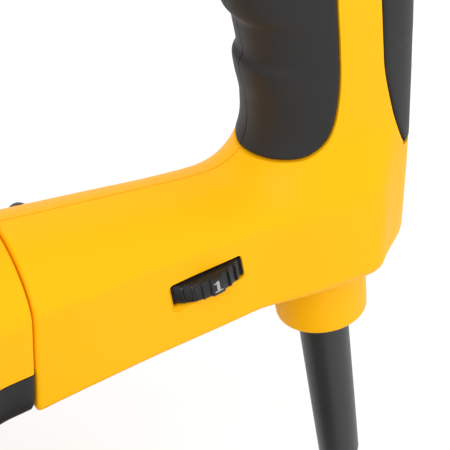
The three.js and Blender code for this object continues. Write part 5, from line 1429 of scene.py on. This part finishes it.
def makeGearHousing():
    values = gearShape
    spindleZ, wallY, endY, half = values["spindleZ"], values["halfWide"], values["endY"], values["flangeHalf"]
    flange = housingShape["flange"]
    first = values["bellStart"]
    bellCurve = through([(first, endY - 2), (44, endY - 0.5), (52, half - 5), (57, half - 0.5), (flange, half)])
    stops = [first + (flange - first) * i / 30 for i in range(31)]
    bell = loft([squareRing(stop, float(bellCurve(stop))) for stop in stops])
    chamber = loft([squareRing(48, endY - 4), squareRing(53, half - 8), squareRing(flange + 1, half - 4)])
    inner = slab(stadium(values["radius"] - values["wall"]), -wallY + values["wall"], endY + 1)
    body = cut(bevelled(slab(stadium(values["radius"]), -wallY, endY), 2.2, 4, 50), inner)
    lean = math.radians(values["handleLean"])
    axis = Vector((-math.sin(lean), 0, math.cos(lean)))
    foot = Vector((0, 0, values["radius"] - 8))
    boss = lathe([(0, 5), (16, 5), (13.6, 9), (13, 12), (13, 21), (12.2, 22), (0, 22)], foot, axis, 72)
    boss = cut(boss, inner)
    neck = lathe([(0, 0), (27.2, 0), (28, 0.8), (28, 6), (31, 9.4), (31, 10.4), (0, 10.4)],
                 (0, -46.4, spindleZ), (0, 1, 0), 96)
    lugs = [crossRod(4.5, x, z, endY - 14, endY, 32) for x, z in coverScrewPlaces()]
    seat = crossTube(9, 14.5, 0, 0, -wallY + 1, -25.7, 64)
    body = joined(body, cut(bell, inner), boss, neck, seat, *lugs)
    body = cut(
        body, chamber, crossRod(11.3, 0, 0, -wallY + 3.7, -25, 64), crossRod(17.8, 0, spindleZ, -47.4, -33, 64),
        rod(16.3, (34.5, 0, 0), (50, 0, 0)), rod(7, (25, 0, 0), (50, 0, 0)),
        rod(5.3, foot + axis * 12, foot + axis * 23), rod(3.4, (-37, 5.5, spindleZ), (-27, 5.5, spindleZ), 32),
        *[crossRod(values["screwHole"], x, z, endY - 12, endY + 1, 24) for x, z in coverScrewPlaces()],
    )
    show("gear_case", body, headFrame, castAlloy, "tool", ["gear_housing"], sharp=40)

    y0, y1 = endY + 0.3, wallY
    plate = bevelled(slab(stadium(values["radius"]), y0, y1 - 2), 0.8, 2, 50)
    raised = bevelled(slab(stadium(values["radius"] - 8), y1 - 3, y1), 1.0, 3, 50)
    ears = [crossRod(4.5, x, z, y0, y1 - 2, 32) for x, z in coverScrewPlaces()]
    seats = [
        crossTube(11.3, 14.5, 0, 0, y0 - 7, y0 + 1, 64), crossTube(10.3, 13.5, 0, spindleZ, y0 - 7, y0 + 1, 64),
    ]
    holes = [crossRod(values["screwHole"], x, z, y0 - 1, y1, 24) for x, z in coverScrewPlaces()]
    cover = cut(joined(plate, raised, *ears, *seats), *holes)
    show("gear_case_cover", cover, headFrame, castAlloy, "tool", ["gear_cover"], sharp=40)
    places = [((x, y1 + 0.7, z), (0, 1, 0), (1, 0, 0)) for x, z in coverScrewPlaces()]
    screws = repeated(screwHead(3.4, 2.4, 1.8, 15), places, darkSteel)
    show("gear_case_screws", screws, headFrame, darkSteel, "tool", ["gear_cover_screw_1", "gear_cover_screw_2"])

    cap = lathe([(0, 0), (6.2, 0), (7, 0.7), (7, 2), (6.5, 2.4), (6.5, 3.4), (7, 3.8), (7, 6), (0, 6)],
                (-45.6, 5.5, spindleZ), (1, 0, 0), 64)
    pin = rod(3, (-40.6, 5.5, spindleZ), (-17.4, 5.5, spindleZ), 32)
    show("lock_pin_key", joined(cap, pin), headFrame, blackPlastic, "spindle_lock", ["spindle_lock_button"])

    # the front handle: a waisted rubber grip with ribs round it
    top = foot + axis * 22
    profile = [(0, 0.3), (21, 0.3), (22, 1.2), (22, 4.2), (20.5, 6), (16.5, 8)]
    waist = through([(8, 16.5), (14, 15.2), (30, 15.6), (55, 18), (80, 17), (92, 16), (99, 17.5)])
    for k in range(values["gripRings"]):
        at = 9 + k * values["gripRingPitch"]
        size = float(waist(at))
        profile += [(size - 0.45, at), (size, at + 0.6), (size, at + 1.7), (size - 0.45, at + 2.3)]
    profile += [(18.8, 101), (20, 104.5), (19.4, 108), (17, 110.8), (13, 112), (0, 112)]
    grip = joined(lathe(profile, top, axis, 96), rod(5, top - axis * 9.5, top + axis * 5, 32))
    show("front_grip", grip, headFrame, softGrip, "tool", ["front_handle"])


def coverScrewPlaces():
    low = gearShape["spindleZ"] - 8
    return [(37.5, 8), (-37.5, 8), (37.5, low), (-37.5, low)]


makeGearHousing()
print("gear housing and front handle made")

# ---- the inner pieces keep their solids and get their finishes
innerFinish = {
    "stator": sheetStack, "armature_core": copperWire, "commutator": copperWire, "fan": blackPlastic,
    "rear_bearing_bridge": blackPlastic, "speed_module": blackPlastic, "switch_body": blackPlastic,
    "spindle": brightSteel, "armature_shaft": brightSteel, "bevel_pinion": brightSteel,
    "layshaft_with_pinion": brightSteel, "crown_gear": darkSteel, "spindle_gear": darkSteel,
}
for name, thing in nodes.items():
    material = innerFinish.get(name)
    if not material and "bearing" in name:
        material = brightSteel
    if not material and "brush_holder" in name:
        material = copperWire
    for place in thing.material_slots:
        place.material = material or darkSteel
